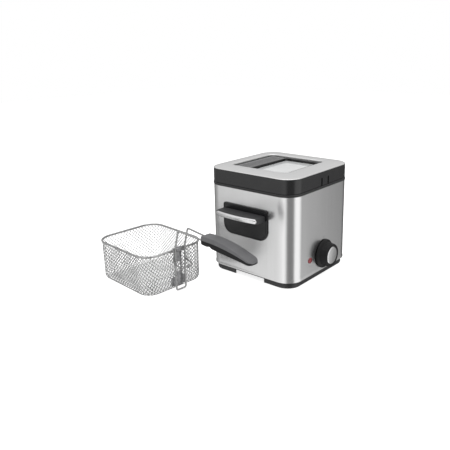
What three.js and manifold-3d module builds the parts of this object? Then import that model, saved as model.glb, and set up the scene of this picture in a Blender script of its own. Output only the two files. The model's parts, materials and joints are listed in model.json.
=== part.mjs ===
// Compact deep fryer with a lift-off lid, and its frying basket standing beside it.
// Millimetres, +Z up, the control knob faces -Y. The origin is under the middle of the whole set.
import * as THREE from 'three';
import { mergeVertices } from 'three/addons/utils/BufferGeometryUtils.js';
import Module from 'manifold-3d';

const wasm = await Module();
wasm.setup();

// ---- driving dimensions ------------------------------------------------------------------

const GAP = 0.3; // left between pieces that touch
const BODY_WIDTH = 205;
const BODY_DEPTH = 204;
const CORNER_RADIUS = 32;
const BASE_HEIGHT = 13;
const CASING_HEIGHT = 163.7;
const CASING_WALL = 1.2;
const COLLAR_HEIGHT = 4.5;
const COLLAR_PROUD = 1;

const BASE_INSET = 3.8;
const BASE_FLOOR = 3;
const SKIRT_WALL = 3;
const SKIRT_LIFT = 0.6;
const VENT_HEIGHT = 9;
const SIDE_VENT = [-36, 36]; // stretch of each side skirt that is open
const BACK_VENT = 50; // half width of the opening in the back skirt
const PAD_RADIUS = 9;
const PAD_HEIGHT = 3;
const PAD_INSET = 28;
const BOSS_RADIUS = 5.5;
const BOSS_INSET = 34;

const BOWL_MARGIN = 12.5; // from the casing's outside to the bowl's inside
const BOWL_WALL = 1.2;
const BOWL_CORNER = 24;
const BOWL_ROUND = 10;
const BOWL_BOTTOM = 72;
const BOWL_FLANGE = 5;
const SEAL_THICKNESS = 1.5;

const HEATER_HALF = 70;
const HEATER_PLATE = 3;
const ELEMENT_RADIUS = 3.2;
const ELEMENT_HALF = 52;
const ELEMENT_BEND = 18;
const SHIELD_Z = 57;
const SHIELD_WALL = 1.2;
const SHIELD_INSET = 12;

const KNOB_X = 5.5;
const KNOB_Z = 45;
const SKIRT_RADIUS = 28.4;
const GRIP_RADIUS = 22;
const KNOB_REACH = 20.5;
const CAP_RADIUS = 17;
const CAP_THICKNESS = 1.5;
const SPINDLE_RADIUS = 3;
const LAMP_X = -42;
const LAMP_Z = 44.4;
const LAMP_RADIUS = 5.8;
const GLAND_X = -58;
const GLAND_Z = 30;
const GLAND_RADIUS = 6;

const HANDLE_BEHIND = 4.5; // from the casing's middle to the handle's
const HANDLE_WIDTH = 108;
const HANDLE_BOTTOM = 86;
const HANDLE_TOP = 147.5;
const HANDLE_PLATE = 2.5;
const BAR_WIDTH = 100;
const BAR_REACH = 33.5;
const BAR_BOTTOM = 126.5;
const BAR_THICKNESS = 11;
const BAR_BULGE = 5;
const TRIM_THICKNESS = 1.2;
const TRIM_HEIGHT = 9;
const HANDLE_SCREW_SPREAD = 64;
const SCREW_RADIUS = 2;

const LID_BAND = 27;
const LID_WALL = 2.6;
const LID_ROOF = 2.5;
const LID_PLATE = 1.2;
const LID_CROWN = 2;
const WINDOW_OPENING = 134;
const WINDOW_CORNER = 14;
const OPENING_X = 2.5;
const OPENING_Y = 6;
const WINDOW_LEDGE = 8; // from the opening's edge to the window's recess
const GRILLE_ROOM = 44; // from the opening's rear edge to the window's recess
const RECESS_DEPTH = 5; // from the tray's top to the pane
const RECESS_CORNER = 5;
const TRAY_WALL = 2.5;
const GLASS_THICKNESS = 3;
const GRILLE_MARGIN = 4;
const GRILLE_THICKNESS = 2;
const GRILLE_FRAME = 5;
const LINER_THICKNESS = 1.2;
const SLOT_HEIGHT = 16;
const LID_SCREW_SPREAD = 110;

const BASKET_APART = 109.5; // from the casing's side to the middle of the basket
const BASKET_BEHIND = 54; // from the casing's back to the middle of the basket
const BASKET_YAW = -4;
const BASKET_SIDE_ROOM = 20; // left in the bowl at each side of the basket
const BASKET_END_ROOM = 17; // left in the bowl for the rim, the pin and the eyes
const BASKET_HEIGHT = 80;
const BASKET_CORNER = 30;
const BASKET_TAPER = 0.985; // size of the floor as a share of the rim's
const BASKET_WALL = 1.6;
const BASKET_ROUND = 7;
const RIM_WIRE = 4;
const WIRE_RADIUS = 1.7;
const WIRE_SPREAD = 22;
const GRIP_WIRE_SPREAD = 17;
const PIN_RADIUS = 2;
const PIN_CLEARANCE = 0.3;
const PIN_STANDOFF = 6; // from the rim's outside to the pin's axis
const EYE_WALL = 2.2;
const NECK_HEIGHT = 41; // from the pin up to the wire's top bend
const NECK_LEAN = 14;
const GRIP_START = 75; // from the pin to the rear of the grip
const GRIP_LENGTH = 116;
const GRIP_WIDTH = 24;
const HOOK_REACH = 19;
const HOOK_DROP = 30;
const HOOK_RADIUS = 1.5;

// ---- sizes that follow from them -----------------------------------------------------------

const halfX = BODY_WIDTH / 2;
const halfY = BODY_DEPTH / 2;
const casingBottom = BASE_HEIGHT + GAP;
const casingTop = casingBottom + CASING_HEIGHT;
const collarBottom = casingTop + GAP;
const collarTop = collarBottom + COLLAR_HEIGHT;
const ledgeTop = collarBottom + 1;
const sealTop = ledgeTop + GAP + SEAL_THICKNESS;
const flangeTop = sealTop + GAP + BOWL_WALL;
const bowlX = halfX - BOWL_MARGIN;
const bowlY = halfY - BOWL_MARGIN;
const lidBottom = collarTop + GAP;
const roofTop = lidBottom + LID_BAND;
const plateBottom = roofTop + GAP;
const frontFace = -halfY;

// ---- shaping helpers -------------------------------------------------------------------------

function roundedRect(hx, hy, radius) {
  const shape = new THREE.Shape();
  const r = Math.min(radius, hx, hy);
  shape.absarc(hx - r, hy - r, r, 0, Math.PI / 2);
  shape.absarc(-hx + r, hy - r, r, Math.PI / 2, Math.PI);
  shape.absarc(-hx + r, -hy + r, r, Math.PI, Math.PI * 1.5);
  shape.absarc(hx - r, -hy + r, r, Math.PI * 1.5, Math.PI * 2);
  shape.closePath();
  return shape;
}

function extrude(shape, z0, z1, curveSegments = 3) {
  const geometry = new THREE.ExtrudeGeometry(shape, { depth: z1 - z0, bevelEnabled: false, curveSegments });
  return geometry.translate(0, 0, z0);
}

function block(x0, x1, y0, y1, z0, z1) {
  const geometry = new THREE.BoxGeometry(x1 - x0, y1 - y0, z1 - z0);
  return geometry.translate((x0 + x1) / 2, (y0 + y1) / 2, (z0 + z1) / 2);
}

// A rod from one point to another.
function rod(radius, from, to, sides = 14) {
  const start = new THREE.Vector3(...from);
  const run = new THREE.Vector3(...to).sub(start);
  const geometry = new THREE.CylinderGeometry(radius, radius, run.length(), sides);
  const turn = new THREE.Quaternion().setFromUnitVectors(
    new THREE.Vector3(0, 1, 0), run.clone().normalize(),
  );
  geometry.applyQuaternion(turn);
  return geometry.translate(...start.addScaledVector(run, 0.5).toArray());
}

// A lathed piece: profile points are [radius, distance], turned about the axis.
function turned(profile, axis, origin, sides = 18) {
  const geometry = new THREE.LatheGeometry(profile.map(([r, d]) => new THREE.Vector2(r, d)), sides);
  const turn = new THREE.Quaternion().setFromUnitVectors(
    new THREE.Vector3(0, 1, 0), new THREE.Vector3(...axis),
  );
  geometry.applyQuaternion(turn);
  return geometry.translate(...origin);
}

// A wire through the given corners, each rounded by the bend radius.
function wire(corners, bend, radius, steps, sides = 6) {
  const points = corners.map((c) => new THREE.Vector3(...c));
  const path = new THREE.CurvePath();
  let last = points[0];
  for (let i = 1; i < points.length - 1; i += 1) {
    const corner = points[i];
    const before = points[i - 1].clone().sub(corner).setLength(bend).add(corner);
    const after = points[i + 1].clone().sub(corner).setLength(bend).add(corner);
    path.add(new THREE.LineCurve3(last, before));
    path.add(new THREE.QuadraticBezierCurve3(before, corner, after));
    last = after;
  }
  path.add(new THREE.LineCurve3(last, points[points.length - 1]));
  const section = new THREE.Shape().absarc(0, 0, radius, 0, Math.PI * 2);
  return new THREE.ExtrudeGeometry(section, { steps, extrudePath: path, curveSegments: sides / 2 });
}

function solid(geometry) {
  const bare = geometry.clone();
  bare.deleteAttribute('normal');
  bare.deleteAttribute('uv');
  const merged = mergeVertices(bare, 1e-4);
  const vertProperties = new Float32Array(merged.attributes.position.array);
  return new wasm.Manifold(
    new wasm.Mesh({ numProp: 3, vertProperties, triVerts: new Uint32Array(merged.index.array) }),
  );
}

function cut(base, ...tools) {
  return tools.reduce(
    (rest, tool) => rest.subtract(tool.getMesh ? tool : solid(tool)), base.getMesh ? base : solid(base)
  );
}

function join(base, ...others) {
  return others.reduce(
    (sum, other) => sum.add(other.getMesh ? other : solid(other)), base.getMesh ? base : solid(base)
  );
}

function geometryOf(shape) {
  if (!shape.getMesh) return shape;
  const mesh = shape.getMesh();
  const geometry = new THREE.BufferGeometry();
  geometry.setAttribute('position', new THREE.BufferAttribute(mesh.vertProperties, 3));
  geometry.setIndex(new THREE.BufferAttribute(mesh.triVerts, 1));
  geometry.computeVertexNormals();
  return geometry;
}

// A tub with rounded lower edges, cut level at the top.
function tub(hx, hy, corner, round, z0, z1) {
  const geometry = new THREE.ExtrudeGeometry(roundedRect(hx - round, hy - round, corner - round), {
    depth: z1 - z0, bevelThickness: round, bevelSize: round, bevelSegments: 2, curveSegments: 3,
  });
  geometry.translate(0, 0, z0 + round);
  return cut(geometry, block(-hx - 1, hx + 1, -hy - 1, hy + 1, z1, z1 + 3 * round));
}

function frame(outer, inner, z0, z1) {
  outer.holes.push(inner);
  return extrude(outer, z0, z1);
}

const finishes = {
  steel: { color: 0xb9b9b9, roughness: 0.35, metalness: 1 },
  wire: { color: 0xb0b0b0, roughness: 0.25, metalness: 1 },
  black: { color: 0x1d1d1e, roughness: 0.45, metalness: 0 },
  gloss: { color: 0x151516, roughness: 0.2, metalness: 0 },
  rubber: { color: 0x2a2a2a, roughness: 0.9, metalness: 0 },
  enamel: { color: 0x3a3a3c, roughness: 0.3, metalness: 0.2 },
  alloy: { color: 0xc8c8c8, roughness: 0.5, metalness: 1 },
  glass: { color: 0xdfe6e6, roughness: 0.05, metalness: 0 },
  lamp: { color: 0xc43a34, roughness: 0.25, metalness: 0 },
  ceramic: { color: 0xe4dfd2, roughness: 0.6, metalness: 0 },
  felt: { color: 0x6a6a66, roughness: 1, metalness: 0 },
  sleeve: { color: 0xb8a47a, roughness: 0.8, metalness: 0 },
};

const root = new THREE.Group();
const appliance = new THREE.Group();
const basket = new THREE.Group();
root.add(appliance, basket);

function piece(group, name, shape, finish) {
  const mesh = new THREE.Mesh(geometryOf(shape), new THREE.MeshStandardMaterial(finishes[finish]));
  mesh.name = name;
  group.add(mesh);
  return mesh;
}

function screw(group, name, head, tip, headRadius, headHeight, shankRadius) {
  const axis = new THREE.Vector3(...tip).sub(new THREE.Vector3(...head));
  const length = axis.length();
  const profile = [
    [0, 0], [headRadius, 0], [headRadius, headHeight], [shankRadius, headHeight], [shankRadius, length],
    [0, length],
  ];
  return piece(group, name, turned(profile, axis.normalize().toArray(), head, 10), 'alloy');
}

// ---- casing, collar and base -------------------------------------------------------------------

const innerX = halfX - CASING_WALL;
const innerY = halfY - CASING_WALL;
const handleScrewY = [-HANDLE_SCREW_SPREAD / 2, HANDLE_SCREW_SPREAD / 2];
const handleScrewZ = BAR_BOTTOM + BAR_THICKNESS / 2;
const screwHole = SCREW_RADIUS + GAP;

function outerShell() {
  const wall = frame(
    roundedRect(halfX, halfY, CORNER_RADIUS),
    roundedRect(innerX, innerY, CORNER_RADIUS - CASING_WALL),
    casingBottom, casingTop,
  );
  const holes = handleScrewY.map((y) => {
    const holeY = HANDLE_BEHIND + y;
    return rod(screwHole, [-halfX - 5, holeY, handleScrewZ], [halfX + 5, holeY, handleScrewZ], 12);
  });
  return cut(
    wall,
    rod(SPINDLE_RADIUS + 2, [KNOB_X, frontFace - 5, KNOB_Z], [KNOB_X, frontFace + 5, KNOB_Z]),
    rod(GLAND_RADIUS + GAP, [GLAND_X, halfY - 5, GLAND_Z], [GLAND_X, halfY + 5, GLAND_Z]),
    rod(LAMP_RADIUS + GAP, [LAMP_X, frontFace - 4, LAMP_Z], [LAMP_X, frontFace + 4, LAMP_Z]),
    ...holes,
  );
}

function topCollar() {
  const skirtX = innerX - GAP;
  const skirtY = innerY - GAP;
  const seatX = bowlX + BOWL_WALL + BOWL_FLANGE + GAP;
  const seatY = bowlY + BOWL_WALL + BOWL_FLANGE + GAP;
  const seatCorner = BOWL_CORNER + BOWL_WALL + BOWL_FLANGE;
  const ring = extrude(
    roundedRect(halfX + COLLAR_PROUD, halfY + COLLAR_PROUD, CORNER_RADIUS + COLLAR_PROUD), collarBottom,
    collarTop,
  );
  const skirt = extrude(
    roundedRect(skirtX, skirtY, CORNER_RADIUS - CASING_WALL), casingTop - 8, collarBottom + 0.5,
  );
  const skirtCore = extrude(
    roundedRect(skirtX - 2, skirtY - 2, CORNER_RADIUS - CASING_WALL - 2), casingTop - 9, collarBottom,
  );
  const seat = extrude(roundedRect(seatX, seatY, seatCorner), ledgeTop, collarTop + 1);
  const mouthX = bowlX + BOWL_WALL + GAP;
  const mouthY = bowlY + BOWL_WALL + GAP;
  const mouth = extrude(
    roundedRect(mouthX, mouthY, BOWL_CORNER + BOWL_WALL), casingTop - 10, collarTop + 1,
  );
  return cut(join(ring, cut(skirt, skirtCore)), seat, mouth);
}

const padSpots = [-1, 1].flatMap(
  (sx) => [-1, 1].map((sy) => [sx * (halfX - PAD_INSET), sy * (halfY - PAD_INSET)])
);
const bossSpots = [-1, 1].flatMap(
  (sx) => [-1, 1].map((sy) => [sx * (halfX - BOSS_INSET), sy * (halfY - BOSS_INSET)])
);
const bossTop = SHIELD_Z - GAP;

function basePan() {
  const outX = halfX - BASE_INSET;
  const outY = halfY - BASE_INSET;
  const corner = CORNER_RADIUS - BASE_INSET;
  const body = extrude(roundedRect(outX, outY, corner), SKIRT_LIFT, BASE_HEIGHT);
  const under = extrude(
    roundedRect(outX - SKIRT_WALL, outY - SKIRT_WALL, corner - SKIRT_WALL), 0, BASE_HEIGHT - BASE_FLOOR,
  );
  const padTop = PAD_HEIGHT + GAP;
  const posts = padSpots.map(([x, y]) => rod(PAD_RADIUS + 2, [x, y, padTop], [x, y, BASE_HEIGHT - 1], 12));
  const bosses = bossSpots.map(([x, y]) => rod(BOSS_RADIUS, [x, y, BASE_HEIGHT - 1], [x, y, bossTop], 10));
  const bossHoles = bossSpots.map(([x, y]) => rod(screwHole, [x, y, 0], [x, y, bossTop - 6], 8));
  const headHoles = bossSpots.map(([x, y]) => rod(4.6, [x, y, 0], [x, y, BASE_HEIGHT - 0.8], 8));
  const vents = [];
  for (let i = -2; i <= 2; i += 1) {
    vents.push(block(-28, 28, i * 12 - 2, i * 12 + 2, 0, BASE_HEIGHT + 1));
  }
  return cut(
    join(cut(body, under), ...posts, ...bosses),
    block(-halfX, halfX, ...SIDE_VENT, 0, VENT_HEIGHT),
    block(-BACK_VENT, BACK_VENT, 0, halfY, 0, VENT_HEIGHT),
    ...headHoles, ...bossHoles, ...vents,
  );
}

piece(appliance, 'outer_shell', outerShell(), 'steel');
piece(appliance, 'top_collar', topCollar(), 'black');
piece(appliance, 'base_pan', basePan(), 'black');
padSpots.forEach(([x, y], i) => {
  piece(appliance, `foot_pad_${i + 1}`, rod(PAD_RADIUS, [x, y, 0], [x, y, PAD_HEIGHT], 16), 'rubber');
});
bossSpots.forEach(([x, y], i) => {
  const headZ = BASE_HEIGHT - 0.8 - GAP - 2.4;
  screw(appliance, `base_screw_${i + 1}`, [x, y, headZ], [x, y, headZ + 22], 4, 2.4, SCREW_RADIUS);
});

// ---- bowl and what heats it -------------------------------------------------------------------

function oilBowl() {
  const outer = tub(
    bowlX + BOWL_WALL, bowlY + BOWL_WALL, BOWL_CORNER + BOWL_WALL, BOWL_ROUND, BOWL_BOTTOM, flangeTop,
  );
  const inner = tub(bowlX, bowlY, BOWL_CORNER, BOWL_ROUND, BOWL_BOTTOM + BOWL_WALL, flangeTop + 1);
  const flange = extrude(
    roundedRect(
      bowlX + BOWL_WALL + BOWL_FLANGE, bowlY + BOWL_WALL + BOWL_FLANGE,
      BOWL_CORNER + BOWL_WALL + BOWL_FLANGE,
    ),
    flangeTop - BOWL_WALL, flangeTop,
  );
  return cut(join(outer, flange), inner);
}

function bowlSeal() {
  return frame(
    roundedRect(
      bowlX + BOWL_WALL + BOWL_FLANGE, bowlY + BOWL_WALL + BOWL_FLANGE,
      BOWL_CORNER + BOWL_WALL + BOWL_FLANGE,
    ),
    roundedRect(bowlX + BOWL_WALL + GAP, bowlY + BOWL_WALL + GAP, BOWL_CORNER + BOWL_WALL),
    ledgeTop + GAP, sealTop,
  );
}

const heaterTop = BOWL_BOTTOM - GAP;
const heaterBottom = heaterTop - HEATER_PLATE;
const elementZ = heaterBottom - GAP - ELEMENT_RADIUS;
const coldEndX = 14;
const coldEndY = HEATER_HALF - 4;
const coldEndZ = SHIELD_Z - 16;

function heatingElement() {
  const e = ELEMENT_HALF;
  const path = [
    [coldEndX, coldEndY, coldEndZ], [coldEndX, coldEndY, elementZ], [coldEndX, e - 22, elementZ],
    [e, e - 22, elementZ],
    [e, -e, elementZ], [-e, -e, elementZ], [-e, e - 22, elementZ], [-coldEndX, e - 22, elementZ],
    [-coldEndX, coldEndY, elementZ], [-coldEndX, coldEndY, coldEndZ],
  ];
  return wire(path, ELEMENT_BEND / 2, ELEMENT_RADIUS, 46);
}

const shieldX = innerX - SHIELD_INSET;
const shieldY = innerY - SHIELD_INSET;
const bulbX = 8;
const bulbZ = heaterBottom - GAP - 2.4;
const capillaryHole = [bulbX, -24];

function heatShield() {
  const rim = 6;
  const pan = extrude(roundedRect(shieldX, shieldY, 20), SHIELD_Z, SHIELD_Z + rim);
  const well = extrude(
    roundedRect(shieldX - SHIELD_WALL, shieldY - SHIELD_WALL, 20 - SHIELD_WALL), SHIELD_Z + SHIELD_WALL,
    SHIELD_Z + rim + 1,
  );
  return cut(
    pan, well,
    block(-coldEndX - 8, coldEndX + 8, coldEndY - 8, coldEndY + 8, SHIELD_Z - 1, SHIELD_Z + 3),
    rod(5, [...capillaryHole, SHIELD_Z - 1], [...capillaryHole, SHIELD_Z + 3], 14),
  );
}

piece(appliance, 'oil_bowl', oilBowl(), 'enamel');
piece(appliance, 'bowl_seal', bowlSeal(), 'rubber');
piece(
  appliance, 'heater_plate', extrude(roundedRect(HEATER_HALF, HEATER_HALF, 20), heaterBottom, heaterTop),
  'alloy',
);
piece(appliance, 'heating_element', heatingElement(), 'steel');
piece(appliance, 'heat_shield', heatShield(), 'alloy');

// ---- thermostat, lamp, wiring -----------------------------------------------------------------

const bracketFront = -innerY + GAP;
const bracketBack = bracketFront + 1.5;
const thermostatFront = bracketBack + GAP;
const thermostatDepth = 24;
const thermostatHalf = 10.5;
const thermostatBack = thermostatFront + thermostatDepth;

function thermostatBracket() {
  const face = block(KNOB_X - 16, KNOB_X + 16, bracketFront, bracketBack, BASE_HEIGHT + GAP, KNOB_Z + 9);
  const foot = block(
    KNOB_X - 16, KNOB_X + 16, bracketFront, bracketFront + 14, BASE_HEIGHT + GAP, BASE_HEIGHT + GAP + 1.5,
  );
  return cut(
    join(face, foot), rod(
      SPINDLE_RADIUS + 1, [KNOB_X, frontFace, KNOB_Z], [KNOB_X, frontFace + 10, KNOB_Z], 16,
    ),
  );
}

function thermostatBody() {
  const h = thermostatHalf;
  const box = block(KNOB_X - h, KNOB_X + h, thermostatFront, thermostatBack, KNOB_Z - h, KNOB_Z + h);
  const tabs = [-5, 5].map(
    (x) => block(
      KNOB_X + x - 2, KNOB_X + x + 2, thermostatBack - 1, thermostatBack + 7, KNOB_Z - 6, KNOB_Z - 5,
    )
  );
  const bore = rod(
    SPINDLE_RADIUS + GAP, [KNOB_X, frontFace, KNOB_Z], [KNOB_X, thermostatFront + 12, KNOB_Z], 16,
  );
  return cut(join(box, ...tabs), bore);
}

function sensorBulb() {
  const bulb = rod(2.4, [bulbX, -20, bulbZ], [bulbX, 24, bulbZ], 12);
  const route = [
    [bulbX, -18, bulbZ], [...capillaryHole, bulbZ], [...capillaryHole, KNOB_Z + 6],
    [bulbX, thermostatBack + GAP, KNOB_Z + 6],
  ];
  return join(bulb, wire(route, 2.5, 1, 22));
}

const glandInside = 12;
const blockY = innerY - 34;

function cordGland() {
  const bore = 3.6;
  const profile = [
    [bore, -glandInside], [GLAND_RADIUS, -glandInside], [GLAND_RADIUS, GAP], [GLAND_RADIUS + 3.5, GAP],
    [GLAND_RADIUS + 3.5, 3], [GLAND_RADIUS, 5], [bore + 1.4, 8], [bore, 8], [bore, -glandInside],
  ];
  return turned(profile, [0, 1, 0], [GLAND_X, halfY, GLAND_Z]);
}

function pilotHolder() {
  const y0 = -innerY + GAP + 1;
  const ring = block(LAMP_X - 8, LAMP_X + 8, -innerY + GAP, y0 + 14, LAMP_Z - 8, LAMP_Z + 8);
  return cut(ring, rod(LAMP_RADIUS + GAP, [LAMP_X, frontFace, LAMP_Z], [LAMP_X, y0 + 8, LAMP_Z]));
}

function terminalBlock() {
  const z0 = BASE_HEIGHT + GAP;
  const body = block(-22, 22, blockY - 8, blockY + 8, z0, z0 + 14);
  const sockets = [-14, 0, 14].map((x) => rod(2.6, [x, blockY - 9, z0 + 6], [x, blockY + 9, z0 + 6], 12));
  const screws = [-14, 0, 14].map((x) => rod(2, [x, blockY, z0 + 6], [x, blockY, z0 + 15], 10));
  return cut(body, ...sockets, ...screws);
}

// Insulated leads run above the base from the terminal block.
const leadRadius = 1.6;
const socketZ = BASE_HEIGHT + GAP + 6;
function switchLead() {
  const tabY = thermostatBack + 7 + GAP;
  const route = [
    [-14, blockY - 5, socketZ], [-14, blockY - 24, socketZ], [-40, 10, socketZ], [-40, -40, socketZ + 6],
    [KNOB_X - 5, tabY + 14, KNOB_Z - 5.5], [KNOB_X - 5, tabY, KNOB_Z - 5.5],
  ];
  return wire(route, 6, leadRadius, 36);
}
function heaterLead() {
  const route = [
    [coldEndX, blockY - 5, socketZ], [coldEndX, blockY - 22, socketZ],
    [coldEndX, blockY - 22, coldEndZ - 7],
    [coldEndX, coldEndY, coldEndZ - 7], [coldEndX, coldEndY, coldEndZ - GAP],
  ];
  return wire(route, 3, leadRadius, 30);
}

const capRecess = CAP_THICKNESS + GAP;
function knob() {
  const grip = GRIP_RADIUS;
  const profile = [
    [0, -KNOB_REACH + capRecess], [CAP_RADIUS + GAP, -KNOB_REACH + capRecess],
    [CAP_RADIUS + GAP, -KNOB_REACH],
    [grip - 2, -KNOB_REACH], [grip - 0.6, -KNOB_REACH + 0.6], [grip, -KNOB_REACH + 2], [grip + 1, -6],
    [SKIRT_RADIUS - 2, -4.4], [SKIRT_RADIUS, -3.2], [SKIRT_RADIUS, -1], [0, -1],
  ];
  const body = turned(profile, [0, 1, 0], [KNOB_X, frontFace, KNOB_Z], 26);
  return cut(
    body, rod(SPINDLE_RADIUS + GAP, [KNOB_X, frontFace, KNOB_Z], [KNOB_X, frontFace - 13, KNOB_Z], 16),
  );
}

piece(appliance, 'thermostat_bracket', thermostatBracket(), 'alloy');
piece(appliance, 'thermostat_body', thermostatBody(), 'ceramic');
piece(appliance, 'sensor_bulb', sensorBulb(), 'steel');
piece(
  appliance, 'thermal_cutout', rod(7, [0, 40, heaterBottom - GAP - 7], [0, 40, heaterBottom - GAP], 18),
  'ceramic',
);
piece(appliance, 'cord_gland', cordGland(), 'rubber');
piece(
  appliance, 'pilot_lens', rod(
    LAMP_RADIUS, [LAMP_X, frontFace - 2.2, LAMP_Z], [LAMP_X, frontFace + CASING_WALL + 1, LAMP_Z],
  ), 'lamp',
);
piece(appliance, 'pilot_holder', pilotHolder(), 'black');
piece(appliance, 'terminal_block', terminalBlock(), 'ceramic');
piece(appliance, 'switch_lead', switchLead(), 'sleeve');
piece(appliance, 'heater_lead', heaterLead(), 'sleeve');
piece(appliance, 'knob', knob(), 'black');
piece(
  appliance, 'knob_cap',
  rod(
    CAP_RADIUS, [KNOB_X, frontFace - KNOB_REACH, KNOB_Z], [
      KNOB_X, frontFace - KNOB_REACH + CAP_THICKNESS, KNOB_Z,
    ], 26,
  ), 'steel',
);
piece(
  appliance, 'thermostat_spindle',
  rod(SPINDLE_RADIUS, [KNOB_X, frontFace - 12.5, KNOB_Z], [KNOB_X, thermostatFront + 11.5, KNOB_Z], 16),
  'alloy',
);

// ---- side handles ----------------------------------------------------------------------------

// Outline of a handle plate seen from the side: small upper corners, large lower ones.
function plateOutline() {
  const h = HANDLE_WIDTH / 2;
  const top = 5;
  const low = 20;
  const shape = new THREE.Shape();
  shape.absarc(h - top, HANDLE_TOP - top, top, 0, Math.PI / 2);
  shape.absarc(-h + top, HANDLE_TOP - top, top, Math.PI / 2, Math.PI);
  shape.absarc(-h + low, HANDLE_BOTTOM + low, low, Math.PI, Math.PI * 1.5);
  shape.absarc(h - low, HANDLE_BOTTOM + low, low, Math.PI * 1.5, Math.PI * 2);
  shape.closePath();
  return shape;
}

// Plan of the handle's bowed front edge, from y = -half to y = +half at the given reach.
function bowedPlan(half, near, reach) {
  const shape = new THREE.Shape();
  shape.moveTo(near, -half);
  shape.lineTo(reach - BAR_BULGE, -half);
  shape.quadraticCurveTo(reach + BAR_BULGE, 0, reach - BAR_BULGE, half);
  shape.lineTo(near, half);
  shape.closePath();
  return shape;
}

const plateFace = halfX + GAP + HANDLE_PLATE;
const barNear = plateFace + GAP;
const barFar = halfX + BAR_REACH;
const trimBottom = BAR_BOTTOM + (BAR_THICKNESS - TRIM_HEIGHT) / 2;

// Built for the right side; the left one is turned half way round.
function sideHandle(side) {
  const group = new THREE.Group();
  if (side === 'left') group.rotation.z = Math.PI;
  group.position.y = HANDLE_BEHIND;
  appliance.add(group);
  const holes = (x0, x1, radius) => handleScrewY.map(
    (y) => rod(radius, [x0, y, handleScrewZ], [x1, y, handleScrewZ], 12)
  );
  const plate = extrude(plateOutline(), 0, HANDLE_PLATE).rotateX(Math.PI / 2).rotateZ(Math.PI / 2).translate(
    halfX + GAP, 0, 0,
  );
  piece(group, `handle_plate_${side}`, cut(plate, ...holes(halfX - 1, halfX + 9, screwHole)), 'black');
  const bar = extrude(bowedPlan(BAR_WIDTH / 2, barNear, barFar), BAR_BOTTOM, BAR_BOTTOM + BAR_THICKNESS, 8);
  const trimSpace = cut(
    extrude(
      bowedPlan(BAR_WIDTH / 2 + 1, barFar - 12, barFar + 4), trimBottom - GAP,
      trimBottom + TRIM_HEIGHT + GAP, 8,
    ),
    extrude(
      bowedPlan(BAR_WIDTH / 2 - 3, barNear, barFar - TRIM_THICKNESS), trimBottom - 1,
      trimBottom + TRIM_HEIGHT + 1, 8,
    ),
    block(barNear, barFar - 9, -BAR_WIDTH, BAR_WIDTH, BAR_BOTTOM, BAR_BOTTOM + BAR_THICKNESS),
  );
  piece(
    group, `handle_bar_${side}`, cut(bar, trimSpace, ...holes(barNear - 1, barNear + 14, screwHole)),
    'black',
  );
  const trim = cut(
    extrude(bowedPlan(BAR_WIDTH / 2, barFar - 12, barFar), trimBottom, trimBottom + TRIM_HEIGHT, 8),
    extrude(
      bowedPlan(BAR_WIDTH / 2 - 3 + GAP, barNear, barFar - TRIM_THICKNESS + GAP), trimBottom - 1,
      trimBottom + TRIM_HEIGHT + 1, 8,
    ),
    block(barNear, barFar - 9 + GAP, -BAR_WIDTH, BAR_WIDTH, BAR_BOTTOM, BAR_BOTTOM + BAR_THICKNESS),
  );
  piece(group, `handle_trim_${side}`, trim, 'steel');
  handleScrewY.forEach((y, i) => {
    const headX = innerX - GAP - 2.6;
    screw(
      group, `handle_screw_${side}_${i + 1}`, [headX, y, handleScrewZ], [barNear + 12, y, handleScrewZ],
      4.5, 2.6, SCREW_RADIUS,
    );
  });
}
['left', 'right'].forEach(sideHandle);

// ---- lid -------------------------------------------------------------------------------------

const openingHalf = WINDOW_OPENING / 2;
const opening = [
  OPENING_X - openingHalf, OPENING_X + openingHalf, OPENING_Y - openingHalf, OPENING_Y + openingHalf,
];
const grown = ([x0, x1, y0, y1], by) => [x0 - by, x1 + by, y0 - by, y1 + by];
const recess = [
  opening[0] + WINDOW_LEDGE, opening[1] - WINDOW_LEDGE, opening[2] + WINDOW_LEDGE, opening[3] - GRILLE_ROOM,
];
const strip = [
  recess[0] - GRILLE_MARGIN, recess[1] + GRILLE_MARGIN, recess[3] + GRILLE_MARGIN,
  opening[3] - GRILLE_MARGIN,
];
const stripMiddle = (strip[2] + strip[3]) / 2;
const trayFloorTop = roofTop - RECESS_DEPTH - GLASS_THICKNESS - GAP;
const trayFloorBottom = trayFloorTop - TRAY_WALL;
const linerTop = trayFloorBottom - GAP;
const linerBottom = linerTop - LINER_THICKNESS;
const ledge = 4;
const trayRim = 6;
const mouth = grown(opening, trayRim + GAP);
// the lid's screws stand half way between the window's mouth and the side walls
const lidScrewX = [(mouth[0] - halfX + LID_WALL) / 2, (mouth[1] + halfX - LID_WALL) / 2];
const lidScrewSpots = lidScrewX.flatMap((x) => [-1, 1].map((s) => [x, (s * LID_SCREW_SPREAD) / 2]));

// A slab over the stretch [x0, x1, y0, y1], its upright corners rounded.
function slab([x0, x1, y0, y1], radius, z0, z1) {
  return extrude(roundedRect((x1 - x0) / 2, (y1 - y0) / 2, radius), z0, z1).translate(
    (x0 + x1) / 2, (y0 + y1) / 2, 0,
  );
}

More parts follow.
